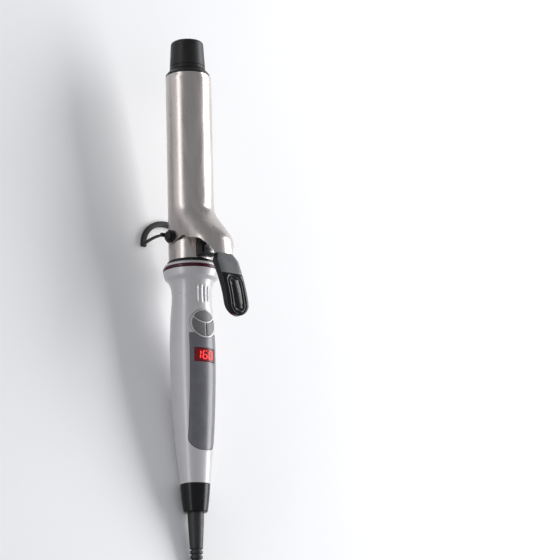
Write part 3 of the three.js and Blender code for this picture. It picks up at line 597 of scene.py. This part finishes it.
def button_plans(grow):
    """Cutters for the three buttons: a lens in front, and two halves of the rest of the ring."""
    height, reach, middle = 40, 13, 0.8 - grow
    lens_x, rib_outside = X_BUTTONS + BUTTON_LENS_FRONT, 11.6

    def ring():
        return body(disc(X_BUTTONS, 0, BUTTON_RING + grow, -1, height))

    plans = [cut(ring(), disc(lens_x, 0, BUTTON_LENS + grow, -2, height + 1), "INTERSECT")]
    for low, high in ((middle, 12), (-12, -middle)):
        half = cut(ring(), disc(lens_x, 0, rib_outside - grow, -2, height + 1))
        side = box(X_BUTTONS - reach, X_BUTTONS + reach, low, high, -3, height + 2)
        plans.append(cut(half, side, "INTERSECT"))
    return [taken(plan) for plan in plans]


def lever_top(x):
    if x >= X_CREASE:
        return CLAMP_OUTER
    t = (X_CREASE - x) / (X_CREASE - X_LEVER_END)
    return CLAMP_OUTER + LEVER_RISE * (smoothstep(0, 0.78, t) * 0.86 + 0.14 * t * t)


def arch(x, span, radius):
    """A point of the clamp's section: an arch on straight walls."""
    centre = lever_top(x) - CLAMP_OUTER
    quarter = CLAMP_OUTER * math.pi / 2
    side, length = math.copysign(1, span), abs(span)
    if length <= quarter:
        angle = length / CLAMP_OUTER
        return (x, side * radius * math.sin(angle), centre + radius * math.cos(angle))
    return (x, side * radius, centre - (length - quarter))


# ---------- Pieces ----------

def make_barrel(context):
    facets = shape_of(context).facets + 32
    tube = body(sleeve([(169.7, BARREL), (X_FLANGE - GAP, BARREL)], BARREL_BORE, facets, 0.2))
    cut(tube, crosswise(X_HINGE, 0, BARREL_HOLE, -20, 20))
    piece(tube, "barrel", metal(context), "root", ["barrel_tube"])
    flange = eased([
        (X_FLANGE - 8, 0), (X_FLANGE - 8, 14.5), (X_FLANGE, 14.5), (X_FLANGE, BARREL), (X_FLANGE + 0.9, BARREL),
        (X_FLANGE + 4.2, 13.2), (X_FLANGE + 4.2, 8), (X_FLANGE + 16.2, 8), (X_FLANGE + 16.2, 0),
    ], 0.3)
    piece(body(revolve(flange, facets)), "flange", black(context), "root", ["tip_flange"])
    cap = [(X_TIP + 12.6, 0), (X_TIP + 12.6, 8.3), (X_TIP, 8.3), (X_TIP, 13)]
    slope = 1.3 / 22.5
    cap += [(X_TIP + 1.6, 13 - slope * 1.6), (X_TIP + 1.8, 12.4), (X_TIP + 2.6, 12.4), (X_TIP + 2.8, 12.84)]
    cap += [(X_TIP + d, 13 - slope * d) for d in (8, 14)]
    quarter = [i * math.pi / 16 for i in range(9)]
    cap += [(X_END - 3.03 + 2.55 * math.sin(a), 8.87 + 3 * math.cos(a)) for a in quarter]
    cap += [(X_END - 0.4, 8.3), (X_END - 0.2, 6), (X_END, 0)]
    tip = body(revolve(eased(cap, 0.15), facets))
    piece(tip, "cool_tip", black(context), "root", ["tip_cap"])


def make_rings(context):
    facets = shape_of(context).facets + 32
    bore = BARREL + GAP
    rings = [
        ("trim_ring", 0.0, [20.05, 20.3, 20.1], red(context), "red_trim", "red_ring"),
        ("light_ring", 2.5, [19.8, 19.5, 18.6], pearl(context), "pearl_white", "rim_ring"),
        ("heat_guard_ring", 5.0, [17.9, 17.3, 16.7], black(context), "heat_plastic", "heat_ring"),
    ]
    for name, start, radii, material, slot, node in rings:
        x = X_RINGS + start
        line = [(x, radii[0]), (x + 1.1, radii[1]), (x + 2.2, radii[2])]
        piece(body(sleeve(line, bore, facets, 0.45)), name, material, "root", [node])


def flute_offset(depth):
    """Four shallow ridges on the upper side of the neck."""
    def offset(x, angle, radius):
        across = math.degrees(math.atan2(math.sin(angle), math.cos(angle)))
        along = smoothstep(148.6, 150.6, x) * (1 - smoothstep(160.5, 162.8, x))
        sides = 1 - smoothstep(24, 29, abs(across))
        wave = 0.5 + 0.5 * math.cos(math.radians(across) * 360 / 13.5)
        return -depth * along * sides * wave
    return offset


def handle_body(context):
    settings = shape_of(context)
    line = handle_outline(150)
    outer = eased([(X_HANDLE[1], 16.6), (X_HANDLE[1], COLLAR), *reversed(line[:-1]), (X_HANDLE[0], 8.9)], 0.3)
    inner = [(x, r - HANDLE_WALL) for x, r in line if x < 166] + [(166.5, 13.9), (170.6, 14.6), (170.8, 16.6)]
    depth = settings.flute / METRE
    around = 3 * settings.facets
    flutes = flute_offset(depth)
    shape = revolve(outer + inner, around, closed=True,
                    offset=lambda x, angle, radius: flutes(x, angle, radius) if radius > 13.8 else 0)
    return body(shape)


def make_handle(context):
    wide = 50
    hollow = taken(cut(body(handle_layer(1.8, -2, 30, 140)), prism(panel_outline(GAP), 0, wide), "INTERSECT"))
    upper = cut(handle_body(context), box(10, 180, -wide, wide, 0.01, wide), "INTERSECT")
    cut(upper, hollow)
    cut(upper, disc(X_BUTTONS, 0, BEZEL_HOLE, 4, wide))
    cut(upper, box(X_WINDOW - WINDOW_HALF[0], X_WINDOW + WINDOW_HALF[0], -7.4, 7.4, 4, wide))
    piece(upper, "handle_upper_shell", pearl(context), "root", ["handle_upper"])
    lower = cut(handle_body(context), box(10, 180, -wide, wide, -wide, -0.01), "INTERSECT")
    head, seat = 2.9, 3.2
    for x in SCREWS_X:
        cut(lower, disc(x, 0, head, -wide, -handle_radius(x) + seat, 48))
    piece(lower, "handle_lower_shell", pearl(context), "root", ["handle_lower"])
    cap = eased([
        (0, 6.1), (0, 7.7), (0.5, 8.35), (0.9, 8.6), (7, 9.5), (13, 10.15), (19.7, 10.75), (19.7, 8.3),
        (25.7, 8.3), (25.7, 6.9), (6, 6.9), (6, 6.1),
    ], 0.35, closed=True)
    piece(body(revolve(cap, shape_of(context).facets, closed=True)), "rear_cap", gloss(context), "root",
          ["end_cap"])


def segment_outline(kind, width, height, thickness):
    """One bar of a seven-segment digit, as (right, up) points from the digit's centre."""
    half_w, half_h, t = width / 2, height / 2, thickness / 2
    level = {"a": half_h, "g": 0.0, "d": -half_h}
    if kind in level:
        y, reach = level[kind], half_w - 0.18
        return [(-reach, y), (-reach + t, y + t), (reach - t, y + t), (reach, y), (reach - t, y - t),
                (-reach + t, y - t)]
    side = half_w if kind in "bc" else -half_w
    low, high = (0.18, half_h - 0.18) if kind in "bf" else (-half_h + 0.18, -0.18)
    return [(side, low), (side + t, low + t), (side + t, high - t), (side, high), (side - t, high - t),
            (side - t, low + t)]


SEGMENTS = {
    "0": "abcdef", "1": "bc", "2": "abged", "3": "abgcd", "4": "fgbc", "5": "afgcd", "6": "afgedc",
    "7": "abc", "8": "abcdefg", "9": "abcdfg",
}


def make_controls(context):
    wide = 40
    panel = cut(body(handle_layer(1.5, -0.1, 30, 140)), prism(panel_outline(), 0, wide), "INTERSECT")
    cut(panel, box(X_WINDOW - 5.1, X_WINDOW + 5.1, -8.7, 8.7, 2, wide))
    bevelled(panel, 0.2)
    piece(panel, "panel_inset", panel_grey(context), "root", ["control_panel"])
    along, across = WINDOW_HALF
    window = box(X_WINDOW - along, X_WINDOW + along, -across, across, 2, wide)
    glass = cut(body(handle_layer(1.4, -0.15, 90, 130)), window, "INTERSECT")
    bevelled(glass, 0.15)
    piece(glass, "display_glass", window_red(context), "root", ["display_window"])
    bezel = cut(body(handle_layer(2.4, -0.25, 110, 160)), disc(X_BUTTONS, 0, 10.5, 2, wide), "INTERSECT")
    for hole in button_plans(GAP):
        cut(bezel, hole)
    bevelled(bezel, 0.22)
    piece(bezel, "bezel", pearl(context), "root", ["button_bezel"])
    names = ("power_button", "plus_button", "minus_button")
    for name, plan in zip(names, button_plans(0.0)):
        key = cut(body(handle_layer(4, -0.7, 110, 160)), plan, "INTERSECT")
        bevelled(key, 0.45, 3)
        piece(key, name.replace("button", "key"), button_grey(context), name, [name])


def make_digits(context):
    """Seven-segment digits, bent to the handle's surface, with their tops towards the tip."""
    width, height, pitch, thickness, slant, shift = 3.2, 5.6, 5.2, 0.62, 0.08, 1.0
    reading = shape_of(context).reading
    base = handle_radius(X_WINDOW) + 0.13
    vertices, faces = [], []
    for place, digit in enumerate(reading):
        middle = (place - (len(reading) - 1) / 2) * pitch - shift
        for kind in SEGMENTS.get(digit, ""):
            rings = []
            for radius in (base, base + 0.06):
                bar = [(up, -(middle + right + slant * up) / base)
                       for right, up in segment_outline(kind, width, height, thickness)]
                rings.append([(X_WINDOW + up, radius * math.sin(angle), radius * math.cos(angle))
                              for up, angle in bar])
            first = len(vertices)
            points, sides = loft(rings)
            vertices += points
            faces += [tuple(first + k for k in side) for side in sides]
    if not vertices:
        raise RuntimeError("the reading has no digits")
    piece(body((vertices, faces)), "display_digits", lit(context), "root")


def clamp_shape():
    tongue = lever_top(X_LEVER_END)
    quarter = CLAMP_OUTER * math.pi / 2
    plate = CLAMP_OUTER * math.radians(82)

    corner, trough = 5, 0.35

    def half_span(x):
        walls = quarter + lever_top(x) - CLAMP_OUTER + 7
        half = plate + (walls - plate) * smoothstep(X_CREASE, X_HINGE + 8.6, x)
        behind = CLAMP_FRONT - x
        if behind < corner:
            half *= 1 - (corner - math.sqrt(corner ** 2 - (corner - behind) ** 2)) / plate
        return half

    def at(radius):
        def point(u, v):
            if u <= trough:
                x = lerp(CLAMP_FRONT, X_CREASE, u / trough)
            else:
                x = lerp(X_CREASE, X_LEVER_END, (u - trough) / 0.65)
            return arch(x, (2 * v - 1) * half_span(x), radius)
        return point

    sheet = body(skin(110, 72, at(CLAMP_OUTER), at(CLAMP_INNER)))
    curve = spline([
        (5.6, -2.5), (2, -5), (-2, -5), (-5, -2.5), (-3.4, 6.5), (-1.8, 0.36 * tongue), (-4.7, 0.48 * tongue),
        (-6.6, 0.68 * tongue), (-9, 0.8 * tongue), (-15.8, 0.925 * tongue), (-20, 0.955 * tongue),
    ], 90)
    side = [(CLAMP_FRONT + 1, 2 * tongue), (CLAMP_FRONT + 1, 1), (X_HINGE + 9.6, 1)]
    side += [(X_HINGE + 8.2, 0.2), (X_HINGE + 6.8, -1.1)]
    side += [(X_HINGE + dx, z) for dx, z in curve] + [(X_LEVER_END - 1, 2 * tongue)]
    cut(sheet, prism(side, -25, 25, axis="Y"), "INTERSECT")
    cut(sheet, crosswise(X_HINGE, 0, RIVET_HOLE, -25, 25))
    return sheet


def make_clamp(context):
    sheet = bevelled(clamp_shape(), 0.16, 2, 50)
    piece(sheet, "clamp_plate", metal(context), "clamp", ["clamp"], sharp=40)
    x0, x1 = X_LEVER_END + GAP, X_HINGE - 1

    def at(drop):
        def point(u, v):
            x = lerp(x0, x1, u)
            half = 6.4 + 4 * smoothstep(0.2, 0.8, u)
            return arch(x, (2 * v - 1) * half, CLAMP_INNER - SHADE_SHEET_GAP - drop)
        return point

    # A black sheet under the lever's tongue: painted shade for the lever's underside.
    shade_sheet = bevelled(body(skin(36, 24, at(0), at(SHADE_SHEET))), 0.3)
    piece(shade_sheet, "lever_shade_sheet", black(context), "clamp", ["lever_lining"])


def make_pad(context):
    """Thumb pad: a tapering, rounded block with a smooth front and oval grooves where the thumb rests. The
    front of its top face is painted grey: a painted reflection on the gloss black.
    """
    front, length, half_width = X_LEVER_END - GAP, 48.0, 9.5
    top = lever_top(X_LEVER_END)
    groove = shape_of(context).groove / METRE
    steps, around, power = 150, 96, 0.42
    ovals_x, line_x, reflection_x = 147, 162.5, 162.8
    rings = []
    for i in range(steps + 1):
        t = i / steps
        x = front - length * t
        nose = min(1.0, (1 - t) * length / half_width)
        end = math.sqrt(max(0.02, 1 - (1 - nose) ** 2))
        lead = min(1.0, 0.72 + 2.4 * t)
        half = half_width * end * lead
        height = (10.5 - 3 * t) * (0.45 + 0.55 * end) * lead
        crown = top + 1.95 + 14 * math.sin(t * math.pi / 2) - (1 - end) * 1.5 - (1 - lead) * 3
        ring = []
        for k in range(around):
            angle = 2 * math.pi * (k + 0.5) / around
            c, s = math.cos(angle), math.sin(angle)
            narrow = lerp(0.82, 1.0, smoothstep(-1, 0.4, s))
            y = half * math.copysign(abs(c) ** power, c) * narrow
            z = crown - height / 2 + height / 2 * math.copysign(abs(s) ** power, s)
            if s > 0:
                reach = math.hypot(max(0.0, abs(x - ovals_x) - 8.5), y)
                ridge = sum(math.exp(-((reach - r) / 0.42) ** 2) for r in (1.6, 3.7, 5.8))
                z -= groove * ridge * smoothstep(0.15, 0.5, s)
                z -= 0.25 * math.exp(-((x - line_x) / 0.5) ** 2) * smoothstep(0.1, 0.4, s)
            ring.append((x, y, z))
        rings.append(ring)
    pad = piece(body(loft(rings)), "pad", [gloss(context), pad_painted_reflection(context)], "clamp",
                ["thumb_pad"], sharp=50)
    to_iron = IRON.inverted()
    turn = to_iron.to_3x3().normalized()
    # Faces at the front of the pad's top face take the grey painted reflection.
    for face in pad.data.polygons:
        if (to_iron @ face.center).x > reflection_x and (turn @ face.normal).z > 0.55:
            face.material_index = 1


def make_hinge(context):
    for name, side in (("rivet_left", 1), ("rivet_right", -1)):
        quarter = [i * math.pi / 24 for i in range(13)]
        head = [(19.45 + 0.4 + 1.7 * math.sin(a), 3.8 * math.cos(a)) for a in quarter]
        line = [(12.6, 0), (12.6, 3.2), (13.2, 3.2), (13.2, 1.8), (19.45, 1.8), (19.45, 3.8)]
        line += [*head[:-1], (21.55, 0)]
        vertices, faces = revolve(eased(line, 0.15), 64)
        vertices = [(X_HINGE + y, side * x, z) for x, y, z in vertices]
        piece(body((vertices, faces)), name, black(context), "root", ["hinge_" + name])
    x0, x1 = X_RINGS_FRONT + 1.2, X_HINGE - 6.1
    side = [(x0, 12), (x0, 20.5), (x0 + 1.5, 22), (x1 - 2, 22), (x1, 20), (x1, 12)]
    seat = revolve([(170, 0), (170, 16.3), (200, 16.3), (200, 0)], 192)
    block = cut(body(prism(side, -6.2, 6.2, axis="Y")), seat)
    for y in (-3.1, 0, 3.1):
        cut(block, box(x1 - 0.5, x1 + 1, y - 0.5, y + 0.5, 17.5, 24))
    bevelled(block, 0.35)
    piece(block, "spring_block", black(context), "root", ["spring_housing"])


def make_spring(context):
    x0, base = X_RINGS_FRONT + 3, 22 + GAP
    plate = 0.8
    # The spring's top stays under the black sheet of painted shade.
    top = lever_top(X_HINGE - 6) - plate - SHADE_SHEET_GAP - SHADE_SHEET - GAP
    path = spline([(x0, base), (x0 + 5, base), (X_HINGE - 9, base + 3), (X_HINGE - 5, top - 1.6),
                   (X_HINGE - 6.5, top - 0.8)], 60)
    low, high = [], []
    for i, point in enumerate(path):
        ahead, behind = path[min(i + 1, len(path) - 1)], path[max(i - 1, 0)]
        along = (Vector(ahead) - Vector(behind)).normalized()
        high.append((point[0] - along.y * 0.6, point[1] + along.x * 0.6))
        low.append(point)
    leaf = body(prism([*low, *reversed(high)], -4, 4, axis="Y"))
    piece(bevelled(leaf, 0.1), "leaf_spring", steel(), "root", ["clamp_spring"])
    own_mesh(leaf)


def make_stand(context):
    """A flat half-ring foot on two thin arms, with an eyelet on each rivet."""
    drop, width, bulge, width_in, bulge_in = 30.0, 22.4, 20.8, 18.4, 16.8
    band = arc(0, 0, 1, -math.pi / 2, math.pi / 2, 72)
    outer = [(bulge * c, width * s) for c, s in band]
    inner = [(bulge_in * c, width_in * s) for c, s in reversed(band)]
    foot = [(-1, -width), *outer, (-1, width), (-1, width_in), *inner, (-1, -width_in)]
    vertices, faces = prism(foot, -1, 1)
    turn = Matrix.Translation((X_HINGE, 0, -drop)) @ Matrix.Rotation(TILT, 4, "Y")
    stand = body(([tuple(turn @ Vector(v)) for v in vertices], faces))
    bends = ((0.6, -4.1), (1.1, -9), (1.2, -14), (0.6, -21), (-0.8, -drop))
    for side in (1, -1):
        near, far = sorted((side * 17.55, side * 19.05))
        inside, outside = sorted((side * 17.55, side * width))
        arm_in, arm_out = sorted((side * 20.6, side * width))
        cut(stand, box(X_HINGE + 0.6, X_HINGE + 3.16, inside, outside, -6, -4.1), "UNION")
        rings = [[(X_HINGE + x, arm_in, z), (X_HINGE + x + 1.6, arm_in, z), (X_HINGE + x + 1.6, arm_out, z),
                  (X_HINGE + x, arm_out, z)] for x, z in bends]
        cut(stand, loft(rings), "UNION")
        cut(stand, crosswise(X_HINGE, 0, 4.6, near, far, 72), "UNION")
    cut(stand, crosswise(X_HINGE, 0, RIVET_HOLE, -30, 30, 48))
    bevelled(stand, 0.3, 3, 35)
    piece(stand, "table_stand", black(context), "stand", ["stand"])


def make_guard(context):
    """Strain relief, slimmer towards the cord, with grooves near its end."""
    def radius(x):
        return 5.8 - 1.5 * smoothstep(0, 1, -x / GUARD_LENGTH)

    line = [(-GUARD_LENGTH, 0), (-GUARD_LENGTH, 4.3)]
    for i in range(1, 4):
        x = -GUARD_LENGTH + 3.4 * i
        line += [(x - 1.2, radius(x)), (x - 1.0, radius(x) - 0.9), (x, radius(x) - 0.9), (x + 0.2, radius(x))]
    line += [(x, radius(x)) for x in (-20, -15, -10, -5)] + [(0, 5.8), (6, 5.8), (6, 0)]
    piece(body(revolve(eased(line, 0.3), 64)), "strain_relief", rubber(), "cord_swivel",
          ["cord_guard"])


def hank_points():
    """The cord's winding from its route to the plug, as a tied hank."""
    low, middle, high = HANK_LAYERS
    points = []

    def run(start, end, y0, y1, z0, z1, first=0.0, last=1.0):
        steps = 26
        for k in range(steps + 1):
            t = k / steps
            s = smoothstep(first, last, t)
            points.append((lerp(start, end, t), lerp(y0, y1, s), lerp(z0, z1, s)))

    def fold(x, radius, side, z, turn):
        steps = 24
        for k in range(1, steps):
            angle = math.pi * k / steps
            points.append((x + side * radius * math.sin(angle), turn * radius * math.cos(angle), z))

    def lap(y, z, next_z, radius):
        fold(HANK_FAR, radius, -1, z, 1)
        run(HANK_FAR, HANK_NEAR, -y, -y, z, next_z)

    run(CORD_ROUTE[-1][0], HANK_FAR, HANK_OUTER, HANK_OUTER, low, low)
    lap(HANK_OUTER, low, middle, HANK_OUTER)
    fold(HANK_NEAR, HANK_OUTER, 1, middle, -1)
    run(HANK_NEAR, HANK_FAR, HANK_OUTER, HANK_OUTER, middle, middle)
    lap(HANK_OUTER, middle, high, HANK_OUTER)
    fold(HANK_NEAR, HANK_OUTER, 1, high, -1)
    run(HANK_NEAR, HANK_FAR, HANK_OUTER, HANK_INNER, high, high, 0.5, 1.0)
    lap(HANK_INNER, high, high, HANK_INNER)
    for upper, lower in ((high, middle), (middle, low)):
        fold(HANK_NEAR, HANK_INNER, 1, upper, -1)
        run(HANK_NEAR, HANK_FAR, HANK_INNER, HANK_INNER, upper, lower, 0.0, 0.5)
        lap(HANK_INNER, lower, lower, HANK_INNER)
    run(HANK_NEAR + 2, PLUG_START + 4, PLUG_Y, PLUG_Y, low, low)
    return points


def make_cord(context):
    route = [*spline(CORD_ROUTE, 56)[:-1], *hank_points()]
    curve = bpy.data.curves.new("mains_cord", "CURVE")
    curve.dimensions = "3D"
    curve.bevel_depth = CORD_DIAMETER / 2 * METRE
    curve.bevel_resolution = 6
    line = curve.splines.new("POLY")
    line.points.add(len(route) - 1)
    for point, at in zip(line.points, route):
        point.co = (*(Vector(at) * METRE), 1)
    line.use_smooth = True
    cord = bpy.data.objects.new("mains_cord", curve)
    context.scene.collection.objects.link(cord)
    curve.materials.append(rubber())
    tie_middle, half = (HANK_NEAR + HANK_FAR) / 2, HANK_OUTER + CORD_DIAMETER / 2 + GAP
    base, top = 1.3, 1.6 + 3 * CORD_DIAMETER + GAP

    def loop(grow):
        return eased([(-half - grow, base - grow), (half + grow, base - grow), (half + grow, top + grow),
                      (-half - grow, top + grow)], 3.0, closed=True, steps=8)

    band = []
    for x in (tie_middle - 6, tie_middle + 6):
        band.append([(x, y, z) for y, z in loop(1.1)])
        band.append([(x, y, z) for y, z in loop(0)])
    count = len(band[0])
    rings = [band[0], band[2], band[3], band[1]]
    vertices = [p for ring in rings for p in ring]
    faces = [(i * count + k, i * count + (k + 1) % count, (i + 1) % 4 * count + (k + 1) % count,
              (i + 1) % 4 * count + k) for i in range(4) for k in range(count)]
    tie = bevelled(body((vertices, faces)), 0.3)
    piece(tie, "hank_tie", rubber(), "root", ["cord_tie"], place=TABLE)
    plug = make_plug()
    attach(cord, "root")
    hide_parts("cord", "cord_hank")


def make_plug():
    """A moulded two-blade plug with a ribbed relief and a grip on each side."""
    end = PLUG_START + 16
    stations = [(0, 4.0, 4.0, 4.8), (1.5, 4.2, 4.2, 4.8)]
    for i in range(4):
        x = 3.2 + 3.0 * i
        size = 4.35 + 0.2 * i
        z = 4.85 + 0.12 * i
        slim, full = size - 0.8, size + 0.1
        stations += [(x - 0.3, size, size, z), (x, slim, slim, z), (x + 0.9, slim, slim, z),
                     (x + 1.2, full, full, z)]
    stations += [(15.2, 5.2, 5.0, 5.4), (16, 8.3, 5.8, 6.6), (18.5, 10.4, 6.7, 7.2), (21, 10.9, 7, PLUG_Z),
                 (25, 10.5, 7, PLUG_Z), (29, 10.2, 7, PLUG_Z), (34, 10.5, 7, PLUG_Z), (39, 11, 7, PLUG_Z),
                 (43.4, 11, 7, PLUG_Z), (44.5, 10.6, 6.6, PLUG_Z), (45, 9.8, 5.8, PLUG_Z)]
    rings = []
    for x, half_width, half_height, z in stations:
        square = lerp(1.0, 0.6, smoothstep(14, 20, x))
        ring = []
        for k in range(56):
            angle = 2 * math.pi * (k + 0.5) / 56
            c, s = math.cos(angle), math.sin(angle)
            ring.append((PLUG_START + x, PLUG_Y + half_width * math.copysign(abs(c) ** square, c),
                         z + half_height * math.copysign(abs(s) ** square, s)))
        rings.append(ring)
    plug = body(loft(rings))
    return piece(plug, "plug", rubber(), "root", ["plug_body"], place=TABLE, sharp=45)


def make_inside(context):
    """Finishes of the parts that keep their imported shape."""
    plain = {"variation": 0.12, "cloud": 300, "bump": 0.2}
    ceramic = finish("ceramic", (0.72, 0.68, 0.58), rough=(0.6, 0.75), **plain)
    aluminium = finish("aluminium", (0.5, 0.51, 0.53), rough=(0.3, 0.45), metallic=1.0, **plain)
    board = finish("circuit_board", (0.012, 0.10, 0.035), rough=(0.35, 0.5), **plain)
    dressed = (
        (steel(), ("thermal_fuse", "handle_screw_rear", "handle_screw_front")),
        (rubber(), ("heater_lead_left", "heater_lead_right", "swivel_bushing")),
        (black(context), ("barrel_mount", "display_module", "power_module", "power_switch", "plus_switch",
                          "minus_switch")),
        (brass(), ("plug_blade_left", "plug_blade_right")),
        (ceramic, ("heater_core", "temperature_sensor")),
        (aluminium, ("heat_spreader_upper", "heat_spreader_lower")),
        (board, ("control_board",)),
    )
    for material, names in dressed:
        for name in names:
            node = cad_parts[name]
            node.data.materials.clear()
            node.data.materials.append(material)


# ---------- Camera and studio ----------

def make_camera(context):
    studio = context.scene.iron_studio
    axis = Vector((math.cos(TILT), 0, math.sin(TILT)))
    lever = Vector((-math.sin(TILT), 0, math.cos(TILT)))
    side = Vector((0, 1, 0))
    facing = math.cos(studio.turn) * lever + math.sin(studio.turn) * side
    back = math.cos(studio.lean) * facing - math.sin(studio.lean) * axis
    up = math.cos(studio.lean) * axis + math.sin(studio.lean) * facing
    right = up.cross(back)
    roll_right = math.cos(studio.roll) * right - math.sin(studio.roll) * up
    roll_up = math.cos(studio.roll) * up + math.sin(studio.roll) * right
    hinge = IRON @ Vector((X_HINGE, 0, 0))
    target = hinge + AIM_RIGHT * roll_right - AIM_DOWN * roll_up
    data = bpy.data.cameras.new("camera")
    data.lens = studio.lens
    data.sensor_width = 36
    data.clip_start = 0.05
    data.clip_end = 50
    camera = bpy.data.objects.new("camera", data)
    context.scene.collection.objects.link(camera)
    turn = Matrix((roll_right, roll_up, back)).transposed()
    camera.matrix_world = Matrix.Translation(target + studio.distance * back) @ turn.to_4x4()
    context.scene.camera = camera


def area_light(context, name, power, at, aim, size):
    data = bpy.data.lights.new(name, "AREA")
    data.shape = "RECTANGLE"
    data.size, data.size_y = size
    data.energy = power
    light = bpy.data.objects.new(name, data)
    context.scene.collection.objects.link(light)
    light.location = at
    light.rotation_mode = "QUATERNION"
    light.rotation_quaternion = (Vector(aim) - Vector(at)).to_track_quat("-Z", "Y")


def make_stage(context):
    studio = context.scene.iron_studio
    reach = FLOOR_REACH
    corners = [(-reach, -reach, 0), (reach, -reach, 0), (reach, reach, 0), (-reach, reach, 0)]
    floor = body((corners, [(0, 1, 2, 3)]), "floor")
    material = finish("floor_card", colours_of(context).floor, rough=(0.8, 0.9), variation=0.01, cloud=6,
                      grain=300, bump=0.02)
    floor.data.materials.append(material)
    area_light(context, "key", studio.key, **KEY_LIGHT)
    area_light(context, "fill", studio.key * FILL_SHARE, **FILL_LIGHT)
    world = bpy.data.worlds.new("studio")
    world.use_nodes = True
    put(world.node_tree.nodes["Background"], Color=(0.93, 0.95, 1, 1), Strength=0.4)
    context.scene.world = world
    context.scene.view_settings.view_transform = "Standard"


# ---------- Operators ----------

class BuildCamera(bpy.types.Operator):
    """Places the camera at the hinge's left, above the handle"""

    bl_idname = "iron.camera"
    bl_label = "Camera"

    def execute(self, context):
        make_camera(context)
        return {"FINISHED"}


class BuildCord(bpy.types.Operator):
    """Lays the mains cord with its tied hank and its plug"""

    bl_idname = "iron.cord"
    bl_label = "Cord and plug"

    def execute(self, context):
        make_cord(context)
        return {"FINISHED"}


class BuildGuard(bpy.types.Operator):
    """Makes the strain relief on the swivel"""

    bl_idname = "iron.strain_relief"
    bl_label = "Strain relief"

    def execute(self, context):
        make_guard(context)
        return {"FINISHED"}


class BuildBarrel(bpy.types.Operator):
    """Makes the barrel, its flange and the cool tip"""

    bl_idname = "iron.barrel"
    bl_label = "Barrel and tip"

    def execute(self, context):
        make_barrel(context)
        return {"FINISHED"}


class BuildRings(bpy.types.Operator):
    """Makes the three rings in front of the handle"""

    bl_idname = "iron.rings"
    bl_label = "Rings"

    def execute(self, context):
        make_rings(context)
        return {"FINISHED"}


class BuildHinge(bpy.types.Operator):
    """Makes the rivets and the spring's housing"""

    bl_idname = "iron.hinge"
    bl_label = "Hinge"

    def execute(self, context):
        make_hinge(context)
        make_spring(context)
        return {"FINISHED"}


class BuildClamp(bpy.types.Operator):
    """Makes the clamp with its lever, and the black sheet of painted shade under the lever"""

    bl_idname = "iron.clamp"
    bl_label = "Clamp"

    def execute(self, context):
        make_clamp(context)
        return {"FINISHED"}


class BuildPad(bpy.types.Operator):
    """Makes the thumb pad"""

    bl_idname = "iron.thumb_pad"
    bl_label = "Thumb pad"

    def execute(self, context):
        make_pad(context)
        return {"FINISHED"}


class BuildStand(bpy.types.Operator):
    """Makes the table stand"""

    bl_idname = "iron.stand"
    bl_label = "Stand"

    def execute(self, context):
        make_stand(context)
        return {"FINISHED"}


class BuildHandle(bpy.types.Operator):
    """Makes the handle's shells and the rear cap"""

    bl_idname = "iron.handle"
    bl_label = "Handle"

    def execute(self, context):
        make_handle(context)
        return {"FINISHED"}


class BuildControls(bpy.types.Operator):
    """Makes the panel, the display and the buttons"""

    bl_idname = "iron.controls"
    bl_label = "Controls"

    def execute(self, context):
        make_controls(context)
        make_digits(context)
        return {"FINISHED"}


class BuildInside(bpy.types.Operator):
    """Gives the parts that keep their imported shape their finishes"""

    bl_idname = "iron.inside"
    bl_label = "Inner parts"

    def execute(self, context):
        make_inside(context)
        return {"FINISHED"}


class BuildStage(bpy.types.Operator):
    """Makes the floor, the lights and the surroundings"""

    bl_idname = "iron.stage"
    bl_label = "Stage"

    def execute(self, context):
        make_stage(context)
        return {"FINISHED"}


OPERATORS = (
    BuildCamera, BuildCord, BuildGuard, BuildBarrel, BuildRings, BuildHinge, BuildClamp, BuildPad, BuildStand,
    BuildHandle, BuildControls, BuildInside, BuildStage,
)


class IronPanel(bpy.types.Panel):
    """Settings and pieces of the curling iron"""

    bl_idname = "VIEW3D_PT_curling_iron"
    bl_label = "Curling iron"
    bl_space_type = "VIEW_3D"
    bl_region_type = "UI"
    bl_category = "Curling iron"

    def draw(self, context):
        layout = self.layout
        for group in (context.scene.iron_shape, context.scene.iron_colours, context.scene.iron_studio):
            for name in group.__annotations__:
                layout.prop(group, name)
        for operator in OPERATORS:
            layout.operator(operator.bl_idname)


CLASSES = (IronColours, IronShape, IronStudio, *OPERATORS, IronPanel)


def register():
    for cls in CLASSES:
        bpy.utils.register_class(cls)
    bpy.types.Scene.iron_colours = PointerProperty(type=IronColours)
    bpy.types.Scene.iron_shape = PointerProperty(type=IronShape)
    bpy.types.Scene.iron_studio = PointerProperty(type=IronStudio)


def unregister():
    del bpy.types.Scene.iron_studio
    del bpy.types.Scene.iron_shape
    del bpy.types.Scene.iron_colours
    for cls in reversed(CLASSES):
        bpy.utils.unregister_class(cls)


def main():
    register()
    bpy.ops.iron.camera()
    bpy.ops.iron.cord()
    bpy.ops.iron.strain_relief()
    bpy.ops.iron.barrel()
    bpy.ops.iron.rings()
    bpy.ops.iron.hinge()
    bpy.ops.iron.clamp()
    bpy.ops.iron.thumb_pad()
    bpy.ops.iron.stand()
    bpy.ops.iron.handle()
    bpy.ops.iron.controls()
    bpy.ops.iron.inside()
    bpy.ops.iron.stage()


if __name__ == "__main__":
    main()
